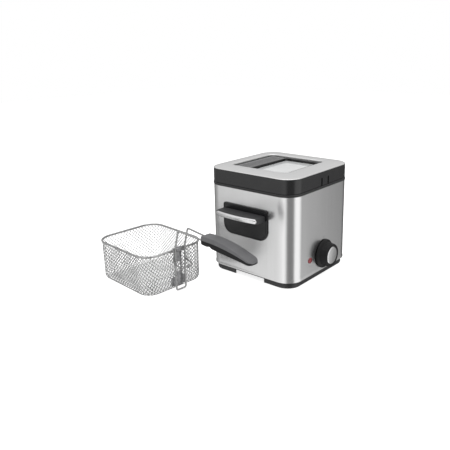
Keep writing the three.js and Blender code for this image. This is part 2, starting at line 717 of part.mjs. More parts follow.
function lidRim() {
  const hull = extrude(roundedRect(halfX, halfY, CORNER_RADIUS), lidBottom, roofTop);
  const hollow = extrude(
    roundedRect(halfX - LID_WALL, halfY - LID_WALL, CORNER_RADIUS - LID_WALL), lidBottom - 1,
    roofTop - LID_ROOF,
  );
  const roofHole = slab(mouth, WINDOW_CORNER + trayRim, roofTop - LID_ROOF - 1, roofTop + 1);
  const bosses = lidScrewSpots.map(([x, y]) => rod(4.5, [x, y, linerTop + GAP], [x, y, roofTop - 1], 10));
  const pilots = lidScrewSpots.map(
    ([x, y]) => rod(SCREW_RADIUS, [x, y, linerTop - 1], [x, y, roofTop - 4], 10)
  );
  const slots = [-1, 1].map((s) => {
    const x = KNOB_X + s * WIRE_SPREAD / 2;
    const half = WIRE_RADIUS + GAP;
    return block(
      x - half, x + half, frontFace - 1, frontFace + LID_WALL + 1, lidBottom - 1, lidBottom + SLOT_HEIGHT,
    );
  });
  return cut(join(cut(hull, hollow, roofHole), ...bosses), ...pilots, ...slots);
}

// A sheet that rises from its outer edge to the window opening.
function lidTopPlate() {
  const layers = 3;
  const stepOut = (k) => (halfX - openingHalf - 12) * (1 - Math.cos((k / layers) * Math.PI / 2));
  const steps = [];
  for (let k = 0; k < layers; k += 1) {
    const inset = stepOut(k);
    const z0 = plateBottom + (LID_CROWN * k) / layers;
    const z1 = plateBottom + LID_PLATE + (LID_CROWN * (k + 1)) / layers;
    steps.push(extrude(roundedRect(halfX - inset, halfY - inset, CORNER_RADIUS - inset), z0, z1));
  }
  return cut(join(...steps), slab(opening, WINDOW_CORNER, plateBottom - 1, plateBottom + 10));
}

// The tray carries the pane at the bottom of its recess and the grille level with its top.
function windowTray() {
  const flange = slab(grown(opening, trayRim), WINDOW_CORNER + trayRim, roofTop - LID_ROOF, roofTop);
  const recessOutside = slab(grown(recess, TRAY_WALL), RECESS_CORNER + TRAY_WALL, trayFloorBottom, roofTop);
  const grilleFrame = slab(grown(strip, 1), 2, roofTop - GRILLE_FRAME, roofTop);
  const recessInside = slab(recess, RECESS_CORNER, trayFloorTop, roofTop + 1);
  const paneHole = slab(grown(recess, -ledge), 1, trayFloorBottom - 1, roofTop);
  const grilleSeat = slab(strip, 1, roofTop - GRILLE_THICKNESS - GAP, roofTop + 1);
  const grilleHole = slab(grown(strip, -ledge), 1, roofTop - GRILLE_FRAME - 1, roofTop);
  return cut(join(flange, recessOutside, grilleFrame), recessInside, paneHole, grilleSeat, grilleHole);
}

function grille() {
  const plate = slab(grown(strip, -GAP), 1, roofTop - GRILLE_THICKNESS, roofTop);
  const holes = [];
  const columns = 9;
  const rows = 3;
  const spanX = strip[1] - strip[0] - 2 * (ledge + 3);
  for (let i = 0; i < columns; i += 1) {
    for (let j = 0; j < rows; j += 1) {
      const x = OPENING_X - spanX / 2 + (spanX * i) / (columns - 1);
      const y = stripMiddle + (j - (rows - 1) / 2) * 9;
      holes.push(rod(2, [x, y, roofTop - GRILLE_THICKNESS - 1], [x, y, roofTop + 1], 6));
    }
  }
  return cut(plate, ...holes);
}

function lidLiner() {
  const side = LID_WALL + GAP;
  const sheet = extrude(
    roundedRect(halfX - side, halfY - side, CORNER_RADIUS - side), linerBottom, linerTop,
  );
  const window = slab(grown(recess, -ledge), 1, linerBottom - 1, linerTop + 1);
  const ventRow = [];
  for (let i = -3; i <= 3; i += 1) {
    ventRow.push(
      rod(
        3, [OPENING_X + i * 14, stripMiddle, linerBottom - 1],
        [OPENING_X + i * 14, stripMiddle, linerTop + 1], 6,
      ),
    );
  }
  const holes = lidScrewSpots.map(
    ([x, y]) => rod(screwHole, [x, y, linerBottom - 1], [x, y, linerTop + 1], 12)
  );
  return cut(sheet, window, ...ventRow, ...holes);
}

piece(appliance, 'lid_rim', lidRim(), 'black');
piece(appliance, 'lid_top_plate', lidTopPlate(), 'steel');
piece(appliance, 'window_tray', windowTray(), 'gloss');
piece(
  appliance, 'window_glass',
  slab(grown(recess, -GAP), RECESS_CORNER - GAP, trayFloorTop + GAP, trayFloorTop + GAP + GLASS_THICKNESS),
  'glass',
);
piece(appliance, 'filter_grille', grille(), 'alloy');
piece(
  appliance, 'filter_pad', slab(grown(strip, -ledge), 1, linerTop + GAP, roofTop - GRILLE_FRAME - GAP),
  'felt',
);
piece(appliance, 'lid_liner', lidLiner(), 'steel');
lidScrewSpots.forEach(([x, y], i) => {
  const headZ = linerBottom - GAP - 2;
  screw(appliance, `lid_screw_${i + 1}`, [x, y, headZ], [x, y, linerTop + 4], 3.6, 2, SCREW_RADIUS - GAP);
});

// ---- basket ------------------------------------------------------------------------------------
// Built round its own middle with its handle towards -Y, then stood beside the fryer.

basket.position.set(-halfX - BASKET_APART, halfY + BASKET_BEHIND, 0);
basket.rotation.z = THREE.MathUtils.degToRad(BASKET_YAW);

const rimX = bowlX - BASKET_SIDE_ROOM;
const rimY = bowlY - BASKET_END_ROOM / 2;
const rimBottom = BASKET_HEIGHT - RIM_WIRE;
const meshTop = rimBottom - GAP;

function tapered(hx, hy, corner, round, z0) {
  const shape = tub(hx, hy, corner, round, z0, meshTop);
  const geometry = geometryOf(shape);
  const position = geometry.attributes.position;
  for (let i = 0; i < position.count; i += 1) {
    const share = BASKET_TAPER + (1 - BASKET_TAPER) * (position.getZ(i) / meshTop);
    position.setXY(i, position.getX(i) * share, position.getY(i) * share);
  }
  return geometry;
}

function basketMesh() {
  const outer = tapered(rimX, rimY, BASKET_CORNER, BASKET_ROUND, 0);
  const inner = tapered(
    rimX - BASKET_WALL, rimY - BASKET_WALL, BASKET_CORNER - BASKET_WALL, BASKET_ROUND, BASKET_WALL,
  );
  const lid = extrude(
    roundedRect(rimX - BASKET_WALL, rimY - BASKET_WALL, BASKET_CORNER - BASKET_WALL), meshTop - 0.2,
    meshTop + 1,
  );
  return cut(outer, inner, lid);
}

function basketRim() {
  const w = RIM_WIRE / 2;
  return frame(
    roundedRect(rimX + w, rimY + w, BASKET_CORNER + w), roundedRect(rimX - w, rimY - w, BASKET_CORNER - w),
    rimBottom, BASKET_HEIGHT,
  );
}

const rimOut = -(rimY + RIM_WIRE / 2);
const pinY = rimOut - PIN_STANDOFF;
const pinZ = BASKET_HEIGHT + 1;
const pinBore = PIN_RADIUS + PIN_CLEARANCE;
const wireX = WIRE_SPREAD / 2;
const knuckleHalf = wireX - WIRE_RADIUS - 1.2;
const bracketPlate = 1.5;
const bracketY = rimOut - GAP - bracketPlate;

function basketBracket() {
  const y1 = bracketY + bracketPlate;
  const strap = block(-knuckleHalf, knuckleHalf, bracketY, y1, 8, pinZ + 3);
  const flange = block(-17, 17, bracketY, y1, 10, 27);
  const window = block(-knuckleHalf + 2.4, knuckleHalf - 2.4, bracketY - 1, y1 + 1, 36, 56);
  const knuckle = rod(pinBore + 1.8, [-knuckleHalf, pinY, pinZ], [knuckleHalf, pinY, pinZ], 18);
  const web = block(-knuckleHalf, knuckleHalf, pinY, y1, pinZ - 1, pinZ + 3);
  return cut(
    join(strap, flange, knuckle, web), window, rod(pinBore, [-20, pinY, pinZ], [20, pinY, pinZ], 18),
  );
}

// The handle's wire runs from inside the grip to the neck, down past the pin and round the foot.
const neckY = pinY - NECK_LEAN;
const neckZ = pinZ + NECK_HEIGHT;
const gripRear = pinY - GRIP_START;
const gripTip = gripRear - GRIP_LENGTH;
const gripWireX = GRIP_WIRE_SPREAD / 2;
const wireEnd = gripRear - 50;
const wireTurn = gripRear + 14;
const wireEndZ = neckZ - 4;
const wireTurnZ = neckZ - 2.7;
const footY = pinY - 2;
const footZ = WIRE_RADIUS + 1.8;

function handleFrame() {
  const side = (s) => [
    [s * gripWireX, wireEnd, wireEndZ], [s * gripWireX, wireTurn, wireTurnZ], [s * wireX, neckY, neckZ],
    [s * wireX, pinY, pinZ], [s * wireX, pinY - 1, pinZ / 2], [s * wireX, footY, footZ],
  ];
  const loop = wire([...side(1), ...side(-1).reverse()], 6, WIRE_RADIUS, 84);
  const eyes = [-1, 1].map((s) => rod(
    pinBore + EYE_WALL, [s * wireX - WIRE_RADIUS, pinY, pinZ], [s * wireX + WIRE_RADIUS, pinY, pinZ], 18,
  ));
  return cut(join(loop, ...eyes), rod(pinBore, [-20, pinY, pinZ], [20, pinY, pinZ], 18));
}

const hookX = wireX + WIRE_RADIUS + GAP + HOOK_RADIUS;
function drainHook() {
  const top = pinZ - 13;
  const bend = top - 8;
  const out = pinY - HOOK_REACH;
  const low = pinZ - HOOK_DROP;
  const arm = (x) => [[x, pinY - 0.5, top], [x, pinY - 1, bend], [x, out, bend - 6], [x, out, low]];
  return wire([...arm(hookX), ...arm(-hookX).reverse()], 2.4, HOOK_RADIUS, 40);
}

// Side outline of the arched grip: curves of the top, the parting line and the underside.
const gripCurve = (rear, middle, tip) => new THREE.QuadraticBezierCurve(
  new THREE.Vector2(gripRear, neckZ + rear), new THREE.Vector2((gripRear + gripTip) / 2, neckZ + middle),
  new THREE.Vector2(gripTip, neckZ + tip),
);
const gripTop = gripCurve(5, 9, -13.5);
const gripParting = gripCurve(-3, -1, -16);
const gripUnder = gripCurve(-11, -16, -19.5);

function gripShell(upper, lower) {
  const outline = [...upper.getPoints(10), ...lower.getPoints(10).reverse()];
  const shape = new THREE.Shape(outline);
  const geometry = new THREE.ExtrudeGeometry(
    shape, { depth: GRIP_WIDTH, bevelEnabled: false, curveSegments: 1 },
  );
  // the outline lies in the x-y plane as (y, z), so it is stood up and its depth laid along X
  geometry.applyMatrix4(new THREE.Matrix4().makeBasis(
    new THREE.Vector3(0, 1, 0), new THREE.Vector3(0, 0, 1), new THREE.Vector3(1, 0, 0),
  ));
  return geometry.translate(-GRIP_WIDTH / 2, 0, 0);
}

const wireChannels = () => [-1, 1].map((s) => rod(
  WIRE_RADIUS + GAP, [s * gripWireX, wireEnd - 1, wireEndZ], [s * gripWireX, wireTurn, wireTurnZ], 8,
));
const gripScrewY = gripRear - 70;
const gripScrewTip = neckZ - 3;
const gripHalfGap = new THREE.Vector2(0, GAP);
const partingAbove = new THREE.QuadraticBezierCurve(
  gripParting.v0.clone().add(gripHalfGap), gripParting.v1.clone().add(gripHalfGap),
  gripParting.v2.clone().add(gripHalfGap),
);
const screwBottom = gripUnder.getPoint(0.56).y + 0.8;

piece(basket, 'basket_mesh', basketMesh(), 'wire');
piece(basket, 'basket_rim', basketRim(), 'wire');
piece(basket, 'basket_bracket', basketBracket(), 'steel');
piece(
  basket, 'handle_pin', rod(PIN_RADIUS, [-wireX - 5, pinY, pinZ], [wireX + 5, pinY, pinZ], 16), 'steel',
);
piece(basket, 'handle_frame', handleFrame(), 'wire');
piece(basket, 'drain_hook', drainHook(), 'wire');
piece(
  basket, 'grip_upper',
  cut(
    gripShell(gripTop, partingAbove), ...wireChannels(), rod(
      SCREW_RADIUS, [0, gripScrewY, 0], [0, gripScrewY, gripScrewTip + 0.6], 12,
    ),
  ),
  'gloss',
);
piece(
  basket, 'grip_lower',
  cut(
    gripShell(gripParting, gripUnder), ...wireChannels(),
    rod(screwHole, [0, gripScrewY, 0], [0, gripScrewY, neckZ], 12),
    rod(3.8, [0, gripScrewY, 0], [0, gripScrewY, screwBottom + 2.6], 14),
  ),
  'black',
);
screw(
  basket, 'grip_screw', [0, gripScrewY, screwBottom], [0, gripScrewY, gripScrewTip], 3.4, 2.2,
  SCREW_RADIUS - GAP,
);

// ---- the set is centred over the origin --------------------------------------------------------

root.updateMatrixWorld(true);
const extent = new THREE.Box3().setFromObject(root, true);
const middle = extent.getCenter(new THREE.Vector3());
root.position.set(-middle.x, -middle.y, -extent.min.z);
root.updateMatrixWorld(true);

export default root;
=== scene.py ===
import json
import math

import bmesh
import bpy
from bpy.props import FloatProperty, FloatVectorProperty, PointerProperty
from mathutils import Matrix, Vector


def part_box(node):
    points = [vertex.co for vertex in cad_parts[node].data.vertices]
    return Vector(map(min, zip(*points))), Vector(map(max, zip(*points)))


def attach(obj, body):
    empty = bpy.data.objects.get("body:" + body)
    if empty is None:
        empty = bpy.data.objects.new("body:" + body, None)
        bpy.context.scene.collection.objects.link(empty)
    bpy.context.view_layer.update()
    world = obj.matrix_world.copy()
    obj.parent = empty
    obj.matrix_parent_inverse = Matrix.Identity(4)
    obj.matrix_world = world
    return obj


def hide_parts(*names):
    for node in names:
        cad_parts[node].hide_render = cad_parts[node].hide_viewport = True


bl_info = {
    "name": "Compact deep fryer",
    "version": (1, 0, 0),
    "blender": (4, 5, 0),
    "location": "View3D > Sidebar > Fryer",
    "description": "Builds a steel deep fryer, its windowed lid and its wire basket around the packed frame",
    "category": "Object",
}

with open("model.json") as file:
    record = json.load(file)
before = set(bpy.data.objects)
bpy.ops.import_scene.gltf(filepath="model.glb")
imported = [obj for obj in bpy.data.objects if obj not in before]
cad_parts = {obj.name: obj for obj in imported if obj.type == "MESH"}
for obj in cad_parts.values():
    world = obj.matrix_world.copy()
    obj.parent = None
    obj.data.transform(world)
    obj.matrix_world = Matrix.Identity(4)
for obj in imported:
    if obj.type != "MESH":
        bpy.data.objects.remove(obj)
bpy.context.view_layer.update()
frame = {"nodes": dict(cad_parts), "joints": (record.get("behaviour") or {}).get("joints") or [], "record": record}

MM = 0.001

shell_low, shell_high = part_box("outer_shell")
rim_low, rim_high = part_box("basket_rim")
fold = next(j for j in frame["joints"] if j["name"] == "handle_fold")
turn = next(j for j in frame["joints"] if j["name"] == "knob_turn")
BASKET_YAW = math.atan2(-fold["axis"][1], -fold["axis"][0])
FRYER = Matrix.Translation(((shell_low.x + shell_high.x) / 2, (shell_low.y + shell_high.y) / 2, 0))
BASKET = Matrix.Translation(((rim_low.x + rim_high.x) / 2, (rim_low.y + rim_high.y) / 2, 0))
BASKET = BASKET @ Matrix.Rotation(BASKET_YAW, 4, "Z")

# half width and half depth of the casing, in millimetres
HALF_X = (shell_high.x - shell_low.x) / 2 / MM
HALF_Y = (shell_high.y - shell_low.y) / 2 / MM
KNOB_X = (turn["pos_m"][0] - FRYER.translation.x) / MM
KNOB_Z = turn["pos_m"][2] / MM
PIN_Z = fold["pos_m"][2] / MM
PIN_Y = (BASKET.inverted() @ Vector(fold["pos_m"])).y / MM

# places and sizes that several pieces share, in millimetres
PAD_X, PAD_Y, POST_RADIUS = 74.5, 74, 11
BASE_SCREW_X, BASE_SCREW_Y, BOSS_RADIUS = 68.5, 68, 5.5
CORD_X, CORD_Z, CORD_HOLE = -58, 30, 6.3
SPINDLE_HOLE = 5
LAMP_RADIUS = 5.8
NECK_RISE = 41  # from the pin up to the wires' neck and the grip's middle
WIRE_X = 11.0  # half of the spread of the handle's two wires
GAP = 0.3  # left between neighbouring pieces
FOUR_CORNERS = [(-1, -1), (-1, 1), (1, -1), (1, 1)]


def heights(node):
    """Lowest and highest point of a frame node, in millimetres."""
    low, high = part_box(node)
    return low.z / MM, high.z / MM


def local_box(node, seat):
    """Lowest and highest corner of a frame node in a seat's own directions, in millimetres."""
    spots = [seat.inverted() @ vert.co / MM for vert in frame["nodes"][node].data.vertices]
    return Vector(map(min, zip(*spots))), Vector(map(max, zip(*spots)))


def at(x, y, z):
    """A move by the given millimetres."""
    return Matrix.Translation(Vector((x, y, z)) * MM)


def grown(x, y, corner, steps, middle=(0, 0)):
    """Levels for rings that grow one rounded rectangle. A step is (growth, z), with the corner's own
    growth third where it differs. Millimetres."""
    levels = []
    for growth, z, *rounder in steps:
        levels.append((x + growth, y + growth, corner + (rounder[0] if rounder else growth), z, middle))
    return levels


# ---- modelling helpers



def deselect():
    bpy.ops.object.select_all(action="DESELECT")


def only(piece):
    deselect()
    piece.select_set(True)
    bpy.context.view_layer.objects.active = piece


def modify(piece, kind, **settings):
    only(piece)
    modifier = piece.modifiers.new(kind.title(), kind)
    for key, value in settings.items():
        setattr(modifier, key, value)
    bpy.ops.object.modifier_apply(modifier=modifier.name)


def soften(piece, width, segments=2, degrees=50):
    """Bevels the edges sharper than an angle by a width in millimetres."""
    angle = math.radians(degrees)
    modify(piece, "BEVEL", width=width * MM, segments=segments, limit_method="ANGLE", angle_limit=angle)


def blank(name):
    """An empty mesh, left in edit mode."""
    deselect()
    bpy.ops.mesh.primitive_plane_add(size=1)
    piece = named(bpy.context.object, name)
    bpy.ops.object.mode_set(mode="EDIT")
    bpy.ops.mesh.select_mode(type="VERT")
    bpy.ops.mesh.select_all(action="SELECT")
    bpy.ops.mesh.delete(type="VERT")
    return piece


def named(piece, name):
    piece.name = piece.data.name = name
    return piece


def rings(name, levels, segments=10, closed=False):
    """Stacks rounded rectangles and bridges them. A level is (half_x, half_y, corner, z), with an
    optional (x, y) middle; a corner may be a pair, for the +y and the -y side. Millimetres."""
    piece = blank(name)
    bmesh.from_edit_mesh(piece.data).verts.layers.int.new("ring")
    # neighbouring rings never lie quite in one plane, so that a bridge knows which way it runs
    lift = 0.02
    depths = []
    for level in levels:
        depths.append(level[3] + lift if depths and depths[-1] == level[3] else level[3])
    if closed and depths[-1] == depths[0]:
        depths[-1] += lift
    for number, (level, z) in enumerate(zip(levels, depths), 1):
        half_x, half_y, corner = level[:3]
        x, y = level[4] if len(level) > 4 else (0, 0)
        middle = Vector((x, y, z)) * MM
        bpy.ops.mesh.select_all(action="DESELECT")
        bpy.ops.mesh.primitive_plane_add(size=2, location=middle)
        bpy.ops.transform.resize(value=(half_x * MM, half_y * MM, 1), center_override=middle)
        sides = corner if isinstance(corner, tuple) else (corner, corner)
        for side, radius in zip((1, -1), sides):
            mesh = bmesh.from_edit_mesh(piece.data)
            tag = mesh.verts.layers.int["ring"]
            edge = 0.98 * half_y * MM
            for vert in mesh.verts:
                vert.select = vert[tag] == 0 and (vert.co.y - middle.y) * side > edge
            mesh.select_flush_mode()
            bpy.ops.mesh.bevel(
                offset=radius * MM, segments=segments, affect="VERTICES", clamp_overlap=False
            )
        mesh = bmesh.from_edit_mesh(piece.data)
        tag = mesh.verts.layers.int["ring"]
        for vert in mesh.verts:
            vert.select = vert[tag] == 0
            if vert.select:
                vert[tag] = number
        mesh.select_flush(True)
        bpy.ops.mesh.delete(type="ONLY_FACE")
    pairs = [(n, n + 1) for n in range(1, len(levels))]
    if closed:
        pairs.append((len(levels), 1))
    for pair in pairs:
        pick_rings(piece, pair)
        bpy.ops.mesh.bridge_edge_loops()
    if not closed:
        for number in (1, len(levels)):
            pick_rings(piece, (number,))
            bpy.ops.mesh.edge_face_add()
    face_outward(piece)
    bpy.ops.object.mode_set(mode="OBJECT")
    piece.data.attributes.remove(piece.data.attributes["ring"])
    return piece


def face_outward(piece):
    bpy.ops.mesh.select_all(action="SELECT")
    bpy.ops.mesh.normals_make_consistent(inside=False)
    if bmesh.from_edit_mesh(piece.data).calc_volume(signed=True) < 0:
        bpy.ops.mesh.flip_normals()


def pick_rings(piece, numbers):
    bpy.ops.mesh.select_all(action="DESELECT")
    mesh = bmesh.from_edit_mesh(piece.data)
    tag = mesh.verts.layers.int["ring"]
    for edge in mesh.edges:
        first, second = (vert[tag] for vert in edge.verts)
        if first == second and first in numbers:
            edge.select = True
    bmesh.update_edit_mesh(piece.data)


def block(name, low, high):
    """A box between two corners, in millimetres."""
    deselect()
    low, high = Vector(low), Vector(high)
    bpy.ops.mesh.primitive_cube_add(size=1)
    piece = named(bpy.context.object, name)
    piece.data.transform(at(*(low + high) / 2) @ Matrix.Diagonal(((high - low) * MM).to_4d()))
    return piece


def cylinder(name, radius, start, end, sides=32):
    """A round bar between two points, in millimetres."""
    deselect()
    start, end = Vector(start) * MM, Vector(end) * MM
    depth = (end - start).length
    bpy.ops.mesh.primitive_cylinder_add(vertices=sides, radius=radius * MM, depth=depth)
    piece = named(bpy.context.object, name)
    turned = (end - start).to_track_quat("Z", "Y").to_matrix().to_4x4()
    piece.data.transform(Matrix.Translation((start + end) / 2) @ turned)
    return piece


def subtract(piece, tool):
    modify(piece, "BOOLEAN", operation="DIFFERENCE", solver="EXACT", object=tool)
    bpy.data.objects.remove(tool, do_unlink=True)


def unite(name, parts):
    deselect()
    for part in parts:
        part.select_set(True)
    bpy.context.view_layer.objects.active = parts[0]
    bpy.ops.object.join()
    return named(bpy.context.object, name)


def lathe(name, profile, steps=64):
    """Spins (radius, distance) points about the Z axis, in millimetres."""
    piece = blank(name)
    mesh = bmesh.from_edit_mesh(piece.data)
    verts = [mesh.verts.new((radius * MM, 0, z * MM)) for radius, z in profile]
    for first, second in zip(verts, verts[1:]):
        mesh.edges.new((first, second))
    bmesh.update_edit_mesh(piece.data)
    bpy.ops.mesh.select_all(action="SELECT")
    bpy.ops.mesh.spin(steps=steps, angle=math.tau, center=(0, 0, 0), axis=(0, 0, 1))
    bpy.ops.mesh.select_all(action="SELECT")
    bpy.ops.mesh.remove_doubles(threshold=1e-6)
    face_outward(piece)
    bpy.ops.object.mode_set(mode="OBJECT")
    return piece


def bent(corners, bend, steps=6):
    """Points along a route whose corners are rounded."""
    points = [Vector(corners[0])]
    for before, corner, after in zip(corners, corners[1:], corners[2:]):
        corner = Vector(corner)
        start = corner + (Vector(before) - corner).normalized() * bend
        end = corner + (Vector(after) - corner).normalized() * bend
        for n in range(steps + 1):
            t = n / steps
            points.append(start * (1 - t) ** 2 + corner * (2 * t * (1 - t)) + end * t * t)
    points.append(Vector(corners[-1]))
    return points


def wires(name, routes, radius, cyclic=False, roundness=2):
    """Round wires along the given routes, in millimetres, as one mesh."""
    curve = bpy.data.curves.new(name, "CURVE")
    curve.dimensions = "3D"
    curve.bevel_depth = radius * MM
    curve.bevel_resolution = roundness
    curve.use_fill_caps = True
    for route in routes:
        spline = curve.splines.new("POLY")
        spline.points.add(len(route) - 1)
        spline.use_cyclic_u = cyclic
        for point, place in zip(spline.points, route):
            point.co = (Vector(place) * MM).to_4d()
    piece = bpy.data.objects.new(name, curve)
    bpy.context.scene.collection.objects.link(piece)
    only(piece)
    bpy.ops.object.convert(target="MESH")
    piece = bpy.context.object
    piece.data.name = name
    only(piece)
    bpy.ops.object.mode_set(mode="EDIT")
    bpy.ops.mesh.select_all(action="SELECT")
    bpy.ops.mesh.remove_doubles(threshold=1e-7)
    bpy.ops.mesh.normals_make_consistent(inside=False)
    bpy.ops.object.mode_set(mode="OBJECT")
    return piece


def copy_of(node, name):
    """A welded copy of a frame node, to be refined."""
    source = frame["nodes"][node]
    piece = bpy.data.objects.new(name, source.data.copy())
    piece.data.name = name
    bpy.context.scene.collection.objects.link(piece)
    only(piece)
    bpy.ops.object.mode_set(mode="EDIT")
    bpy.ops.mesh.select_all(action="SELECT")
    bpy.ops.mesh.remove_doubles(threshold=1e-6)
    bpy.ops.mesh.tris_convert_to_quads()
    bpy.ops.object.mode_set(mode="OBJECT")
    return piece


def fit_out(piece, body, slot, nodes=(), place=None, look=None, soft=35):
    """Smooths a finished piece, places it, gives it its finish and lets it ride on its body."""
    if soft is not None:
        only(piece)
        bpy.ops.object.shade_smooth_by_angle(angle=math.radians(soft))
    if place is not None:
        piece.data.transform(place)
    piece.data.materials.clear()
    piece.data.materials.append(FINISHES[look or slot])
    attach(piece, body)
    if nodes:
        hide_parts(*nodes)
    return piece


# ---- finishes

FINISHES = {}
CELLS = "ShaderNodeTexVoronoi"


def shader_of(material):
    return material.node_tree.nodes["Principled BSDF"]


def finish(slot, colour, roughness, metallic=0.0, **sockets):
    material = bpy.data.materials.new(slot)
    material.use_nodes = True
    shader = shader_of(material)
    shader.inputs["Base Color"].default_value = (*colour, 1)
    shader.inputs["Roughness"].default_value = roughness
    shader.inputs["Metallic"].default_value = metallic
    for key, value in sockets.items():
        shader.inputs[key.replace("_", " ")].default_value = value
    FINISHES[slot] = material
    return material


def pattern(material, scale, stretch=(1, 1, 1), detail=4, kind="ShaderNodeTexNoise"):
    """A noise, cell or band pattern fixed to the piece; returns its value socket."""
    nodes, links = material.node_tree.nodes, material.node_tree.links
    source = nodes.new("ShaderNodeTexCoord")
    mapping = nodes.new("ShaderNodeMapping")
    mapping.inputs["Scale"].default_value = stretch
    texture = nodes.new(kind)
    texture.inputs["Scale"].default_value = scale
    if "Detail" in texture.inputs:
        texture.inputs["Detail"].default_value = detail
    links.new(source.outputs["Object"], mapping.inputs["Vector"])
    links.new(mapping.outputs["Vector"], texture.inputs["Vector"])
    return next(texture.outputs[key] for key in ("Fac", "Distance") if key in texture.outputs)


def tint(material, value, dark, light, low=0.35, high=0.65):
    """Lets a pattern move the base colour between two tones."""
    ramp = material.node_tree.nodes.new("ShaderNodeValToRGB")
    ramp.color_ramp.elements[0].position = low
    ramp.color_ramp.elements[0].color = (*dark, 1)
    ramp.color_ramp.elements[1].position = high
    ramp.color_ramp.elements[1].color = (*light, 1)
    shader = shader_of(material)
    material.node_tree.links.new(value, ramp.inputs["Fac"])
    material.node_tree.links.new(ramp.outputs["Color"], shader.inputs["Base Color"])


def vary_roughness(material, value, low, high):
    """Lets a pattern move the roughness between two values."""
    spread = material.node_tree.nodes.new("ShaderNodeMapRange")
    spread.inputs["To Min"].default_value = low
    spread.inputs["To Max"].default_value = high
    shader = shader_of(material)
    material.node_tree.links.new(value, spread.inputs["Value"])
    material.node_tree.links.new(spread.outputs["Result"], shader.inputs["Roughness"])


def relief(material, value, strength, distance):
    """Adds a pattern to the surface relief, on top of any that is there."""
    bump = material.node_tree.nodes.new("ShaderNodeBump")
    bump.inputs["Strength"].default_value = strength
    bump.inputs["Distance"].default_value = distance
    shader = shader_of(material)
    links = material.node_tree.links
    if shader.inputs["Normal"].is_linked:
        links.new(shader.inputs["Normal"].links[0].from_socket, bump.inputs["Normal"])
    links.new(value, bump.inputs["Height"])
    links.new(bump.outputs["Normal"], shader.inputs["Normal"])


def shade(colour, factor):
    return tuple(min(1.0, part * factor) for part in colour)


def brushed(slot, colour, roughness, stretch, scale=900):
    """Steel with a fine grain drawn along one direction."""
    material = finish(slot, colour, roughness, 1.0)
    grain = pattern(material, scale, stretch, 3)
    streaks = pattern(material, scale / 6, stretch, 2)
    tint(material, streaks, shade(colour, 0.985), shade(colour, 1.01))
    vary_roughness(material, grain, roughness * 0.92, roughness * 1.08)
    relief(material, grain, 0.015, 0.0002)


def moulded(slot, colour, roughness, grain_scale=2600, strength=0.12, **sockets):
    """Moulded plastic or rubber with a fine spark-eroded grain and faint handling marks."""
    material = finish(slot, colour, roughness, 0.0, **sockets)
    wear = pattern(material, 45, detail=5)
    grain = pattern(material, grain_scale, detail=2)
    tint(material, wear, shade(colour, 0.9), shade(colour, 1.14))
    vary_roughness(material, wear, roughness * 0.88, roughness * 1.12)
    relief(material, grain, strength, 0.0001)
    return material


